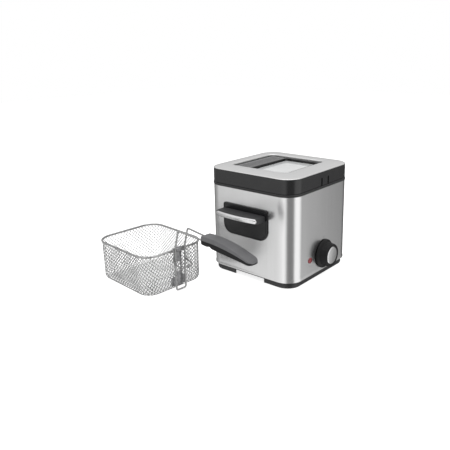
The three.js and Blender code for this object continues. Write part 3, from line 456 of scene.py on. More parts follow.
def make_finishes(look):
    steel = tuple(look.steel)
    black = tuple(look.black)
    brushed("brushed_steel", steel, look.steel_roughness, (1, 1, 0.012))
    brushed("trim_steel", shade(steel, 1.15), 0.24, (1, 0.02, 1))
    brushed("lid_steel", steel, 0.4, (0.02, 1, 1))
    sheet = finish("bright_sheet", (0.72, 0.73, 0.74), 0.3, 1.0)
    tint(sheet, pattern(sheet, 60, detail=5), (0.66, 0.67, 0.68), (0.76, 0.77, 0.78))
    vary_roughness(sheet, pattern(sheet, 380, (1, 0.05, 1), 3), 0.24, 0.38)
    cast = finish("cast_alloy", (0.5, 0.5, 0.5), 0.5, 1.0)
    tint(cast, pattern(cast, 180, detail=6), (0.4, 0.4, 0.41), (0.58, 0.58, 0.58))
    relief(cast, pattern(cast, 900, detail=3), 0.3, 0.0003)
    sheath = finish("element_sheath", (0.3, 0.28, 0.27), 0.42, 1.0)
    tint(sheath, pattern(sheath, 70, detail=6), (0.16, 0.13, 0.12), (0.4, 0.36, 0.33))
    vary_roughness(sheath, pattern(sheath, 300), 0.32, 0.55)
    zinc = finish("screw_zinc", (0.6, 0.62, 0.64), 0.3, 1.0)
    tint(zinc, pattern(zinc, 400), (0.5, 0.52, 0.55), (0.68, 0.69, 0.7))
    relief(zinc, pattern(zinc, 2500), 0.1, 0.0001)
    for slot, factor in (("plated_wire", 1.0), ("frame_wire", 1.3)):
        wire = finish(slot, shade(look.wire, factor), 0.28, 1.0)
        plating = pattern(wire, 220, detail=3)
        tint(wire, plating, shade(look.wire, 0.94 * factor), shade(look.wire, 1.04 * factor))
        vary_roughness(wire, plating, 0.24, 0.32)
    plate = finish("bracket_steel", (0.26, 0.26, 0.265), 0.45, 0.9)
    tint(plate, pattern(plate, 260, detail=5), (0.2, 0.2, 0.205), (0.33, 0.33, 0.335))
    relief(plate, pattern(plate, 1800, detail=2), 0.15, 0.0001)
    bowl = finish("bowl_coating", (0.05, 0.05, 0.053), 0.34, 0.0, Coat_Weight=0.3, Coat_Roughness=0.2)
    speckle = pattern(bowl, 1500, detail=1, kind=CELLS)
    tint(bowl, speckle, (0.16, 0.16, 0.165), (0.045, 0.045, 0.048), 0.08, 0.22)
    relief(bowl, pattern(bowl, 900, detail=3), 0.12, 0.0001)
    moulded("black_plastic", black, look.plastic_roughness)
    moulded("gloss_black", shade(black, 0.8), 0.24, 3200, 0.04)
    # grip_top is the same black plastic painted eight times lighter: a painted reflection of the bright sky on the
    # grip's upper shell
    moulded("grip_top", shade(black, 8.0), 0.34, 2400, 0.04, Specular_IOR_Level=0.7)
    moulded("knob_black", shade(black, 0.8), 0.4, 2400, 0.06, Specular_IOR_Level=0.18)
    moulded("grille_grey", (0.12, 0.12, 0.122), 0.4)
    bar = moulded("ribbed_black", shade(black, 2.4), 0.55)
    ribs = pattern(bar, 260, kind="ShaderNodeTexWave", detail=0)
    relief(bar, ribs, 0.35, 0.0003)
    moulded("rubber", (0.022, 0.022, 0.022), 0.85, 1500, 0.3)
    moulded("silicone", (0.2, 0.2, 0.205), 0.6, 2000, 0.1, Subsurface_Weight=0.1)
    glass = finish("window_glass", (0.86, 0.88, 0.88), 0.08, 0.0, Transmission_Weight=0.3, Coat_Weight=0.5)
    tint(glass, pattern(glass, 25, detail=3), (0.83, 0.85, 0.85), (0.9, 0.91, 0.91))
    vary_roughness(glass, pattern(glass, 60), 0.05, 0.12)
    lamp = finish("lamp_red", (0.3, 0.03, 0.035), 0.25, 0.0, Transmission_Weight=0.2, Coat_Weight=0.4)
    facets = pattern(lamp, 900, kind=CELLS)
    tint(lamp, facets, (0.34, 0.06, 0.07), (0.22, 0.02, 0.025), 0.1, 0.7)
    relief(lamp, facets, 0.2, 0.0003)
    ceramic = finish("ceramic_white", (0.75, 0.71, 0.62), 0.3, 0.0, Coat_Weight=0.3)
    tint(ceramic, pattern(ceramic, 120, detail=6), (0.66, 0.62, 0.52), (0.8, 0.77, 0.69))
    relief(ceramic, pattern(ceramic, 700), 0.08, 0.0002)
    sleeve = finish("lead_sleeve", (0.5, 0.42, 0.26), 0.8, 0.0, Sheen_Weight=0.3)
    weave = pattern(sleeve, 900, (1, 1, 0.6), kind=CELLS)
    tint(sleeve, weave, (0.34, 0.27, 0.15), (0.6, 0.52, 0.35))
    relief(sleeve, weave, 0.5, 0.0003)
    felt = finish("filter_felt", (0.06, 0.06, 0.056), 0.95, 0.0, Sheen_Weight=0.4)
    fibre = pattern(felt, 1300, (1, 0.2, 1), 6)
    tint(felt, fibre, (0.04, 0.04, 0.037), (0.09, 0.09, 0.085))
    relief(felt, fibre, 0.6, 0.0006)
    mark = finish("dial_print", (0.12, 0.12, 0.12), 0.5)
    tint(mark, pattern(mark, 1500), (0.1, 0.1, 0.1), (0.16, 0.16, 0.16))


# ---- sizes and looks that a user may change


def size(name, description, default):
    return FloatProperty(name=name, description=description, default=default, min=0)


class FryerSizes(bpy.types.PropertyGroup):
    """Sizes of the fryer's own pieces, in millimetres"""

    corner: size("Corner radius", "Upright corners of the casing", 32.0)
    wall: size("Casing wall", "Thickness of the steel sheet", 1.2)
    hem: size("Hem", "How far the casing flares at its foot", 0.8)
    band_wall: size("Lid wall", "Thickness of the lid's band", 2.6)
    tray_rim: size("Tray rim", "From the lid's opening to the tray's edge", 6.0)
    slot_spread: size("Slot spread", "Between the two slots in the lid's band", 22.0)
    slot_height: size("Slot height", "How far the slots reach up the band", 16.0)
    slot_width: size("Slot width", "Width of each slot in the lid's band", 4.0)
    hole_pitch: size("Hole pitch", "Between the holes of the vapour grille", 4.0)
    bar_reach: size("Handle reach", "How far a side handle stands out", 33.5)
    bar_bulge: size("Handle bow", "Bow of a side handle's front edge", 5.0)


class BasketSizes(bpy.types.PropertyGroup):
    """Sizes of the wire basket, in millimetres"""

    pitch: size("Mesh pitch", "Between neighbouring wires of the weave", 5.2)
    strand: size("Strand radius", "Radius of one wire of the weave", 0.5)
    corner: size("Corner radius", "Upright corners of the basket", 30.0)
    taper: size("Taper", "Size of the floor as a share of the rim's", 0.985)
    fillet: size("Floor bend", "Radius where the floor turns up", 8.0)
    rim_radius: size("Rim wire", "Radius of the rim's wire", 2.0)
    handle_wire: size("Handle wire", "Radius of the handle's wire", 1.7)
    grip_width: size("Grip width", "Width of the handle's grip", 24.0)


def tone(name, description, default):
    return FloatVectorProperty(name=name, description=description, default=default, subtype="COLOR")


class FinishLook(bpy.types.PropertyGroup):
    """Colours and gloss of the finishes"""

    steel: tone("Steel", "Brushed casing", (0.72, 0.72, 0.72))
    black: tone("Black", "Moulded plastic", (0.01, 0.01, 0.0105))
    wire: tone("Wire", "Plated basket wire", (0.32, 0.32, 0.32))
    steel_roughness: size("Steel roughness", "Softness of reflections", 0.26)
    plastic_roughness: size("Plastic roughness", "Softness of reflections", 0.42)


class StageLook(bpy.types.PropertyGroup):
    """Floor, light and camera"""

    floor_width: FloatProperty(
        name="Floor", description="Width of the floor", default=8.0, unit="LENGTH"
    )
    overhead_light: FloatProperty(
        name="Overhead light", description="Power of the overhead light", default=9.0, unit="POWER"
    )
    room_light: size("Room light", "Strength of the surrounding light", 1.0)
    lens: FloatProperty(name="Lens", description="Focal length in millimetres", default=42.894)
    camera_place: FloatVectorProperty(
        name="Camera",
        description="Camera from the middle of the fryer's base",
        unit="LENGTH",
        default=(-0.8411, -0.6221, 0.434),
    )
    heading: FloatProperty(name="Heading", description="Camera turned from +Y, in degrees", default=-49.1288)
    pitch: FloatProperty(name="Pitch", description="Camera tilted up, in degrees", default=-14.7771)
    roll: FloatProperty(name="Roll", description="Camera rolled, in degrees", default=-1.0306)


def sizes():
    return bpy.context.scene.fryer_sizes


def basket_sizes():
    return bpy.context.scene.basket_sizes


# ---- operators: finishes and frame nodes


class FRYER_OT_finishes(bpy.types.Operator):
    """Make the finishes and give one to every frame node"""

    bl_idname = "fryer.finishes"
    bl_label = "Finishes"

    def execute(self, context):
        make_finishes(context.scene.finish_look)
        slots = {part["node"]: part["material_slot"] for part in frame["record"]["subparts"]}
        for name, node in frame["nodes"].items():
            node.data.materials.clear()
            node.data.materials.append(FINISHES[slots[name]])
        return {"FINISHED"}


# ---- operators: body


class FRYER_OT_casing(bpy.types.Operator):
    """Fold the steel casing, with its hem"""

    bl_idname = "fryer.casing"
    bl_label = "Casing"

    def execute(self, context):
        s = sizes()
        low, high = heights("outer_shell")
        hem = [(s.hem, low), (s.hem, low + 1.2), (0.3, low + 3), (0, low + 6)]
        steps = [*hem, (0, high), (-s.wall, high), (-s.wall, low)]
        casing = rings("casing", grown(HALF_X, HALF_Y, s.corner, steps), 16, closed=True)
        through = 5
        for side, x, z, radius in ((-1, KNOB_X, KNOB_Z, SPINDLE_HOLE), (1, CORD_X, CORD_Z, CORD_HOLE)):
            ends = [(x, side * (HALF_Y + reach), z) for reach in (-through, through)]
            subtract(casing, cylinder("bore", radius, *ends))
        fit_out(casing, "appliance", "brushed_steel", ("outer_shell",), FRYER)
        return {"FINISHED"}


class FRYER_OT_collar(bpy.types.Operator):
    """Mould the black collar that the lid and the bowl rest on"""

    bl_idname = "fryer.collar"
    bl_label = "Collar"

    def execute(self, context):
        s = sizes()
        low, high = heights("top_collar")
        ledge = heights("bowl_seal")[0] - GAP
        underside = heights("outer_shell")[1] + GAP
        seal = local_box("bowl_seal", FRYER)[1]
        out, lip, seat_corner = 1.0, 5.0, 30.2
        inside = -s.wall - GAP
        levels = [
            *grown(HALF_X, HALF_Y, s.corner, [
                (out - 0.5, underside, out), (out, underside + 0.6), (out, high - 0.8), (out - 0.8, high, out),
            ]),
            *grown(seal.x + GAP, seal.y + GAP, seat_corner, [
                (0, high), (0, ledge), (-lip, ledge), (-lip, underside),
            ]),
            *grown(HALF_X, HALF_Y, s.corner, [
                (inside - 2, underside), (inside - 2, low), (inside, low), (inside, underside),
            ]),
        ]
        collar = rings("collar", levels, 14, closed=True)
        fit_out(collar, "appliance", "black_plastic", ("top_collar",), FRYER)
        return {"FINISHED"}


class FRYER_OT_base(bpy.types.Operator):
    """Mould the vented base and its rubber pads"""

    bl_idname = "fryer.base"
    bl_label = "Base"

    def execute(self, context):
        s = sizes()
        low, high = heights("base_pan")[0], heights("outer_shell")[0] - GAP
        x, y = local_box("base_pan", FRYER)[1].xy
        r = s.corner - (HALF_X - x)
        wall = 3.0
        steps = [
            (-wall, high - wall), (-wall, low), (-1.6, low), (-0.5, low + 0.5), (0, low + 1.8), (0, high),
        ]
        base = rings("base", grown(x, y, r, steps), 14)
        vent_top = 9
        cuts = [
            block("vent", (-HALF_X, -36, -1), (HALF_X, 36, vent_top)),
            block("vent", (-50, HALF_Y - 20, -1), (50, HALF_Y, vent_top)),
        ]
        for n in range(-2, 3):
            cuts.append(block("vent", (-28, 12 * n - 2, high - wall - 1), (28, 12 * n + 2, high + 1)))
        for tool in cuts:
            subtract(base, tool)
        boss_top = heights("base_pan")[1]
        posts = []
        for px, py, radius, bottom, top, sides in (
            (PAD_X, PAD_Y, POST_RADIUS, 3.3, high - wall, 40),
            (BASE_SCREW_X, BASE_SCREW_Y, BOSS_RADIUS, high, boss_top, 24),
        ):
            for sx, sy in FOUR_CORNERS:
                ends = [(sx * px, sy * py, z) for z in (bottom, top)]
                posts.append(cylinder("post", radius, *ends, sides))
        base = unite("base", [base, *posts])
        soften(base, 0.3)
        fit_out(base, "appliance", "black_plastic", ("base_pan",), FRYER)
        profile = [(0, 0), (7.6, 0), (8.6, 0.4), (9, 1.2), (9, 3), (0, 3)]
        for number, (sx, sy) in enumerate(FOUR_CORNERS, 1):
            pad = lathe(f"pad_{number}", profile, 40)
            place = FRYER @ at(sx * PAD_X, sy * PAD_Y, 0)
            fit_out(pad, "appliance", "rubber", (f"foot_pad_{number}",), place)
        return {"FINISHED"}


class FRYER_OT_bowl(bpy.types.Operator):
    """Draw the coated oil bowl with its flange"""

    bl_idname = "fryer.bowl"
    bl_label = "Bowl"

    def execute(self, context):
        low, high = heights("oil_bowl")
        x, y, r, wall, bend = 90.0, 89.5, 24.0, 1.2, 10.0
        arc = []
        for n in range(5):
            angle = math.pi / 8 * n
            arc.append((bend * (1 - math.sin(angle)), bend * (1 - math.cos(angle))))
        flange = wall + 5
        steps = [(wall - inset, low + rise) for inset, rise in arc]
        steps += [(wall, high - wall), (flange, high - wall), (flange, high - GAP), (flange - 0.4, high)]
        steps += [(1.5, high), (0.4, high - 0.4), (0, high - 1.6)]
        steps += [(-inset, low + wall + rise) for inset, rise in reversed(arc)]
        bowl = rings("bowl", grown(x, y, r, steps), 12)
        fit_out(bowl, "appliance", "bowl_coating", ("oil_bowl",), FRYER)
        return {"FINISHED"}


# ---- operators: lid


class FRYER_OT_lid(bpy.types.Operator):
    """Mould the lid's band with its two slots, and press its steel top"""

    bl_idname = "fryer.lid"
    bl_label = "Lid"

    def execute(self, context):
        s = sizes()
        low, high = heights("lid_rim")
        tray_low, tray_high = local_box("window_tray", FRYER)
        middle = (tray_low + tray_high).to_2d() / 2
        hole, hole_corner, roof = (tray_high.x - tray_low.x) / 2 + GAP, 20, 2.5
        x, y, r, w = HALF_X, HALF_Y, s.corner, s.band_wall
        levels = [
            *grown(x, y, r, [(-0.6, low), (0, low + 0.7), (0, high - 0.7), (-0.7, high)]),
            *grown(hole, hole, hole_corner, [(0, high), (0, high - roof)], middle),
            *grown(x, y, r, [(-w, high - roof), (-w, low)]),
        ]
        band = rings("lid_band", levels, 16, closed=True)
        half = s.slot_width / 2
        for side in (-1, 1):
            slot_x = KNOB_X + side * s.slot_spread / 2
            far = (slot_x + half, -y + w + 1, low + s.slot_height)
            subtract(band, block("slot", (slot_x - half, -y - 1, low - 1), far))
        fit_out(band, "lid", "black_plastic", ("lid_rim",), FRYER, look="gloss_black")

        low, high = heights("lid_top_plate")
        edge, edge_corner, margin = hole - GAP - s.tray_rim, 14, 5
        rise = high - low - 1.6
        crown = []
        for t in (0.08, 0.2, 0.36, 0.55, 0.75, 1.0):
            inward = (x - edge - margin) * t
            z = low + 1.6 + rise * math.sin(t * math.pi / 2)
            crown.append((x - inward, y - inward, r - (r - edge_corner - 4) * t, z, middle * t))
        outer = [(-0.3, low, 0), (0, low + 0.3), (0, low + 0.7), (-0.4, low + 1.15), (-1.4, low + 1.55)]
        inner = [(1.6, high - 0.1), (0.5, high - 0.6), (0, high - 1.6), (0, low)]
        levels = [*grown(x, y, r, outer), *crown, *grown(edge, edge, edge_corner, inner, middle)]
        top = rings("lid_top", levels, 16, closed=True)
        fit_out(top, "lid", "brushed_steel", ("lid_top_plate",), FRYER, look="lid_steel", soft=50)
        return {"FINISHED"}


class FRYER_OT_window(bpy.types.Operator):
    """Set the tray, the pane and the perforated vapour grille into the lid"""

    bl_idname = "fryer.window"
    bl_label = "Window and grille"

    def execute(self, context):
        s = sizes()
        tray = copy_of("window_tray", "tray")
        soften(tray, 0.5)
        fit_out(tray, "lid", "gloss_black", ("window_tray",))

        low, high = local_box("window_glass", FRYER)
        half = (high - low) / 2
        middle = (low + high).to_2d() / 2
        steps = [(0, low.z), (0, high.z - 0.6), (-0.6, high.z)]
        pane = rings("pane", grown(half.x, half.y, 4.7, steps, middle), 8)
        fit_out(pane, "lid", "window_glass", ("window_glass",), FRYER)

        low, high = local_box("filter_grille", FRYER)
        size = high - low
        columns = round(size.x / s.hole_pitch)
        rows = round(size.y / s.hole_pitch)
        middle = (low + high) / 2
        deselect()
        bpy.ops.mesh.primitive_grid_add(x_subdivisions=columns, y_subdivisions=rows, size=1)
        grille = named(bpy.context.object, "grille")
        spread = Matrix.Diagonal((size.x * MM, size.y * MM, 1, 1))
        grille.data.transform(at(middle.x, middle.y, high.z) @ spread)
        bpy.ops.object.mode_set(mode="EDIT")
        mesh = bmesh.from_edit_mesh(grille.data)
        for face in mesh.faces:
            centre = face.calc_center_median() / MM
            margins = *(centre - low).xy, *(high - centre).xy
            face.select = min(margins) > s.hole_pitch
        mesh.select_flush_mode()
        bmesh.update_edit_mesh(grille.data)
        bpy.ops.mesh.inset(thickness=0.6 * MM, use_individual=True)
        bpy.ops.mesh.delete(type="FACE")
        bpy.ops.object.mode_set(mode="OBJECT")
        modify(grille, "SOLIDIFY", thickness=size.z * MM, offset=-1)
        modify(grille, "SUBSURF", levels=1, render_levels=1)
        fit_out(grille, "lid", "grille_grey", ("filter_grille",), FRYER, soft=50)
        return {"FINISHED"}


# ---- operators: side handles, knob and lamp


class FRYER_OT_handles(bpy.types.Operator):
    """Mould the two side handles and their steel trims"""

    bl_idname = "fryer.handles"
    bl_label = "Side handles"

    def execute(self, context):
        s = sizes()
        low, high = heights("handle_plate_left")
        bar_low, bar_high = heights("handle_bar_left")
        trim_low, trim_high = heights("handle_trim_left")
        half, bar_half, trim_half = 54.0, 50, 49.2
        plate_z = (low + high) / 2
        tall = (high - low) / 2
        upright = Matrix(((0, 0, 1, 0), (1, 0, 0, 0), (0, 1, 0, 0), (0, 0, 0, 1)))
        plates = [
            (half, tall, (5, 20), 0),
            (half, tall, (5, 20), 1.6),
            (half - 0.9, tall - 0.9, (4.2, 19), 2.5),
            (half - 2.4, tall - 2.4, (3.2, 17.6), 2.5),
            (half - 2.9, tall - 2.9, (3, 17.2), 1.8),
            (half - 3.9, tall - 3.9, (2.4, 16.2), 1.8),
            (half - 4.4, tall - 4.4, (2, 15.7), 2.5),
        ]
        reach = HALF_X + s.bar_reach
        near = HALF_X + 3.1

        def front_at(y, back):
            """How far out the bowed front edge lies at a place along the bar, less a set-back."""
            bow = s.bar_bulge * (1 - 2 * (y / bar_half) ** 2)
            return reach - s.bar_bulge / 2 - back + bow / 2

        plate_box = local_box("handle_plate_right", FRYER)
        aft = at(0, (plate_box[0].y + plate_box[1].y) / 2, 0)
        for side, spin in (("left", math.pi), ("right", 0.0)):
            seat = FRYER @ aft @ Matrix.Rotation(spin, 4, "Z")
            plate = rings(f"handle_plate_{side}_moulded", plates, 10)
            place = seat @ at(HALF_X + GAP, 0, plate_z) @ upright
            fit_out(plate, "appliance", "gloss_black", (f"handle_plate_{side}",), place, soft=25)

            deselect()
            bpy.ops.mesh.primitive_grid_add(x_subdivisions=6, y_subdivisions=24, size=1)
            bar = named(bpy.context.object, f"handle_bar_{side}_moulded")
            for vert in bar.data.vertices:
                y = vert.co.y * 2 * bar_half
                share = vert.co.x + 0.5
                x = near + (front_at(y, 1.4) - near) * share
                vert.co = Vector((x, y, bar_high)) * MM
            modify(bar, "SOLIDIFY", thickness=(bar_high - bar_low) * MM, offset=-1)
            soften(bar, 1.6, 3, 60)
            nodes = (f"handle_bar_{side}",)
            fit_out(bar, "appliance", "black_plastic", nodes, seat, look="ribbed_black", soft=40)

            tall_trim = (trim_high - trim_low) / 2
            middle_z = (trim_high + trim_low) / 2
            levels = []
            for n in range(33):
                y = -trim_half + 2 * trim_half * n / 32
                left = trim_half - abs(y)
                cut = tall_trim * math.sqrt(max(0.02, 1 - max(0.0, 1 - left / tall_trim) ** 2))
                levels.append((1.0, cut, min(0.8, cut * 0.8), y, (front_at(y, 1.1), middle_z)))
            trim = rings(f"handle_trim_{side}_pressed", levels, 3)
            for vert in trim.data.vertices:
                lean = (vert.co.y / MM - middle_z) / tall_trim
                vert.co.x -= 0.6 * MM * lean * lean
                vert.co = Vector((vert.co.x, vert.co.z, vert.co.y))
            only(trim)
            bpy.ops.object.mode_set(mode="EDIT")
            face_outward(trim)
            bpy.ops.object.mode_set(mode="OBJECT")
            fit_out(trim, "appliance", "trim_steel", (f"handle_trim_{side}",), seat, soft=50)
        return {"FINISHED"}


class FRYER_OT_knob(bpy.types.Operator):
    """Turn the thermostat knob and its steel cap, and print the dial marks"""

    bl_idname = "fryer.knob"
    bl_label = "Knob"

    def execute(self, context):
        forward = Matrix.Rotation(math.pi / 2, 4, "X")
        seat = FRYER @ at(KNOB_X, -HALF_Y, KNOB_Z) @ forward
        profile = [
            (0, 1), (27.8, 1), (28.4, 1.5), (28.4, 3.0), (28.0, 3.8), (27.0, 4.5), (24.2, 5.6), (23.2, 6.4),
            (22.9, 8.0), (22.3, 18.0), (21.9, 19.6), (21.2, 20.3), (20.2, 20.5), (18.4, 20.5), (17.6, 20.1),
            (17.3, 19.4), (17.3, 18.7), (0, 18.7),
        ]
        knob = lathe("knob_turned", profile, 96)
        ribs = []
        rib_count, rib_radius = 28, 0.7
        for n in range(rib_count):
            angle = math.tau * n / rib_count
            foot, top = (
                (out * math.cos(angle), out * math.sin(angle), z) for out, z in ((22.6, 7.5), (22.0, 18.5))
            )
            ribs.append(cylinder("rib", rib_radius, foot, top, 8))
        knob = unite("knob_turned", [knob, *ribs])
        fit_out(knob, "control", "black_plastic", ("knob",), seat, look="knob_black")
        face = [(0, 20.35), (15.6, 20.35), (16.4, 20.2), (17.0, 19.6), (17.0, 19.0), (0, 19.0)]
        cap = lathe("knob_cap_turned", face, 80)
        fit_out(cap, "control", "trim_steel", ("knob_cap",), seat)
        lamp = local_box("pilot_lens", FRYER)[0].x + LAMP_RADIUS - KNOB_X
        print_depth = 0.12
        ticks = [
            block("tick", (-0.5, 31.5, 0), (0.5, 35.5, print_depth)),
            block("tick", (lamp - 0.9, -13, 0), (lamp + 0.9, -11.6, print_depth)),
        ]
        dial = unite("dial_marks", ticks)
        modify(dial, "BEVEL", width=0.03 * MM, segments=1)
        fit_out(dial, "appliance", "black_plastic", (), seat, look="dial_print", soft=None)
        return {"FINISHED"}


class FRYER_OT_lamp(bpy.types.Operator):
    """Set the pilot lamp's domed lens and the rubber cord gland"""

    bl_idname = "fryer.lamp"
    bl_label = "Lamp and gland"

    def execute(self, context):
        low, high = local_box("pilot_lens", FRYER)
        half, depth = (high.x - low.x) / 2, high.y - low.y
        dome = [(0, 1.6), (0.3, 1.0), (1.1, 0.5), (2.6, 0.15)]
        dome = [(half - inward, depth - drop) for inward, drop in dome]
        lens = lathe("lamp_lens", [(0, 0), (half, 0), *dome, (0, depth)], 48)
        seat = FRYER @ at((low.x + high.x) / 2, high.y, (low.z + high.z) / 2)
        seat = seat @ Matrix.Rotation(math.pi / 2, 4, "X")
        fit_out(lens, "appliance", "lamp_red", ("pilot_lens",), seat, soft=60)
        low, high = local_box("cord_gland", FRYER)
        profile = [
            (3.6, -12), (6, -12), (6, 0.3), (9.2, 0.3), (9.5, 0.6), (9.5, 2.6), (9.1, 3.0), (6.4, 3.2),
            (6.2, 4.2), (5.9, 4.4), (5.9, 5.0), (6.1, 5.2), (5.7, 6.2), (5.4, 6.4), (5.4, 7.0), (5.2, 7.9),
            (3.6, 8), (3.6, -12),
        ]
        gland = lathe("gland_moulded", profile, 48)
        seat = FRYER @ at((low.x + high.x) / 2, HALF_Y, (low.z + high.z) / 2)
        seat = seat @ Matrix.Rotation(-math.pi / 2, 4, "X")
        fit_out(gland, "appliance", "rubber", ("cord_gland",), seat, soft=40)
        return {"FINISHED"}


# ---- operators: basket


def around(half_x, half_y, corner, share):
    """Point and outward direction at a share of the way round a rounded rectangle."""
    flat_x, flat_y = half_x - corner, half_y - corner
    arc = corner * math.pi / 2
    quarter = flat_x + flat_y + arc
    left = share % 1 * 4 * quarter
    number = min(int(left / quarter), 3)
    left -= number * quarter
    sx, sy = ((1, 1), (-1, 1), (-1, -1), (1, -1))[number]
    # each quarter goes up to a corner along one side, round it, and half way along the next side
    start, end, along = Vector((sx, 0)), Vector((0, sy)), flat_y
    if number % 2:
        start, end, along = end, start, flat_x
    turned = min(max((left - along) / corner, 0), math.pi / 2)
    outward = start * math.cos(turned) + end * math.sin(turned)
    place = Vector((sx * flat_x, sy * flat_y)) + outward * corner
    return place - end * max(along - left, 0) - start * max(left - along - arc, 0), outward


class FRYER_OT_weave(bpy.types.Operator):
    """Weave the basket from two crossing sets of wires, over and under"""

    bl_idname = "fryer.weave"
    bl_label = "Woven mesh"

    def execute(self, context):
        b = basket_sizes()
        top = heights("basket_rim")[0] + 1.2
        half_x, half_y, corner = rim_half()
        lean = (1 - b.taper) * half_x / top
        step = b.pitch / math.sqrt(8)
        bend = b.fillet * math.pi / 2
        girth = 4 * (half_x + half_y - 2 * corner) + math.tau * corner
        count = round(girth / (4 * step))
        step = girth / count / 4
        thick = b.strand * 2.05
        weave_depth = 0.55
        routes = []
        for family in (1, -1):
            for line in range(count):
                route = []
                for knot in range(math.ceil((bend + top - b.fillet) / step)):
                    climb = knot * step
                    turned = min(climb / b.fillet, math.pi / 2)
                    z = b.fillet * (1 - math.cos(turned)) + max(climb - bend, 0)
                    inset = b.fillet * (1 - math.sin(turned)) + lean * (top - z) + b.strand
                    share = (line * 4 + family * knot) / (count * 4)
                    place, outward = around(half_x - inset, half_y - inset, corner - inset, share)
                    sway = math.cos(math.pi * knot / 2) * family * b.strand * weave_depth
                    slope = outward.to_3d() * math.sin(turned) - Vector((0, 0, math.cos(turned)))
                    route.append(place.to_3d() + Vector((0, 0, z + thick)) + slope * sway)
                routes.append(route)
        edge = b.fillet + lean * top + b.strand
        floor_x, floor_y, floor_corner = half_x - edge, half_y - edge, corner - edge
        reach = math.ceil((floor_x + floor_y) / b.pitch)
        for family in (1, -1):
            for line in range(-reach, reach + 1):
                route = []
                for knot in range(-2 * reach, 2 * reach + 1):
                    across, along = line * b.pitch, knot * b.pitch / 2
                    spot = Vector((along + family * across, family * along - across)) / math.sqrt(2)
                    over_x = max(abs(spot.x) - floor_x + floor_corner, 0)
                    over_y = max(abs(spot.y) - floor_y + floor_corner, 0)
                    if math.hypot(over_x, over_y) < floor_corner:
                        turn = math.pi * (knot / 2 + line)
                        sway = math.cos(turn) * family * b.strand * weave_depth
                        route.append(Vector((spot.x, spot.y, thick + sway)))
                if len(route) > 2:
                    routes.append(route)
        mesh = wires("woven_mesh", routes, b.strand, roundness=0)
        fit_out(mesh, "basket", "plated_wire", ("basket_mesh",), BASKET, soft=80)
        return {"FINISHED"}


def rim_half():
    """Half width, half depth and corner of the rim's middle line, in millimetres."""
    high = local_box("basket_rim", BASKET)[1]
    rim = basket_sizes().rim_radius + 0.1
    return high.x - rim, high.y - rim, basket_sizes().corner


class FRYER_OT_basket_frame(bpy.types.Operator):
    """Bend the rim wire and fit the bracket and the pin"""

    bl_idname = "fryer.basket_frame"
    bl_label = "Rim, bracket and pin"

    def execute(self, context):
        b = basket_sizes()
        half_x, half_y, corner = rim_half()
        low, high = heights("basket_rim")
        route = []
        for quarter, (sx, sy) in enumerate(((1, 1), (-1, 1), (-1, -1), (1, -1))):
            for n in range(15):
                angle = math.pi / 2 * (quarter + n / 14)
                x = sx * (half_x - corner) + corner * math.cos(angle)
                y = sy * (half_y - corner) + corner * math.sin(angle)
                route.append((x, y, (low + high) / 2))
        rim = wires("rim_wire", [route], b.rim_radius, cyclic=True, roundness=3)
        fit_out(rim, "basket", "plated_wire", ("basket_rim",), BASKET, look="frame_wire", soft=80)
        bracket = copy_of("basket_bracket", "bracket_pressed")
        soften(bracket, 0.35)
        fit_out(bracket, "basket", "bracket_steel", ("basket_bracket",))
        half = b.handle_wire + 14
        head = [(0, 0), (2.1, 0), (2.6, 0.5), (2.6, 1.4), (2.0, 1.6)]
        profile = [(radius, inward - half) for radius, inward in head]
        profile += [(radius, half - inward) for radius, inward in reversed(head)]
        pin = lathe("pin_riveted", profile, 32)
        seat = BASKET @ at(0, PIN_Y, PIN_Z) @ Matrix.Rotation(math.pi / 2, 4, "Y")
        fit_out(pin, "basket", "plated_wire", ("handle_pin",), seat, look="frame_wire")
        return {"FINISHED"}


class FRYER_OT_handle_wires(bpy.types.Operator):
    """Bend the folding handle's wire loop, its eyes and the drain hook"""

    bl_idname = "fryer.handle_wires"
    bl_label = "Handle wires"

    def execute(self, context):
        b = basket_sizes()
        neck_y, neck_z = PIN_Y - 14, PIN_Z + NECK_RISE
        grip_y = local_box("grip_upper", BASKET)[1].y
        grip_x = 8.5
        front = PIN_Y - 3.4

        def side(s):
            return [
                (s * grip_x, grip_y - 48, neck_z - 4),
                (s * grip_x, grip_y + 14, neck_z - 2.7),
                (s * WIRE_X, neck_y, neck_z),
                (s * WIRE_X, front, PIN_Z + 5),
                (s * WIRE_X, front, PIN_Z - 5),
                (s * WIRE_X, PIN_Y - 1, PIN_Z / 2),
                (s * WIRE_X, PIN_Y - 2, b.handle_wire + 1.8),
            ]

        corners = [*side(1), *reversed(side(-1))]
        loop = wires("loop", [bent(corners, 4.5)], b.handle_wire, roundness=3)
        eyes = []
        for s in (-1, 1):
            deselect()
            bpy.ops.mesh.primitive_torus_add(
                major_segments=28, minor_segments=12, major_radius=3.6 * MM, minor_radius=1.3 * MM
            )
            eye = bpy.context.object
            eye.data.transform(at(s * WIRE_X, PIN_Y, PIN_Z) @ Matrix.Rotation(math.pi / 2, 4, "Y"))
            eyes.append(eye)
        loop = unite("handle_loop", [loop, *eyes])
        fit_out(loop, "basket_handle", "plated_wire", ("handle_frame",), BASKET, look="frame_wire", soft=80)
        hook_x = WIRE_X + b.handle_wire + 1.8
        drops = [(0.5, 13), (1, 21), (19, 27), (19, 30)]
        arm = [(hook_x, PIN_Y - out, PIN_Z - down) for out, down in drops]
        other = [(-x, y, z) for x, y, z in reversed(arm)]
        hook = wires("hook_bent", [bent([*arm, *other], 2.4, 5)], 1.5, roundness=3)
        fit_out(hook, "basket_handle", "plated_wire", ("drain_hook",), BASKET, soft=80)
        return {"FINISHED"}


def curve_at(t, rear, middle, tip):
    return rear * (1 - t) ** 2 + middle * 2 * t * (1 - t) + tip * t * t


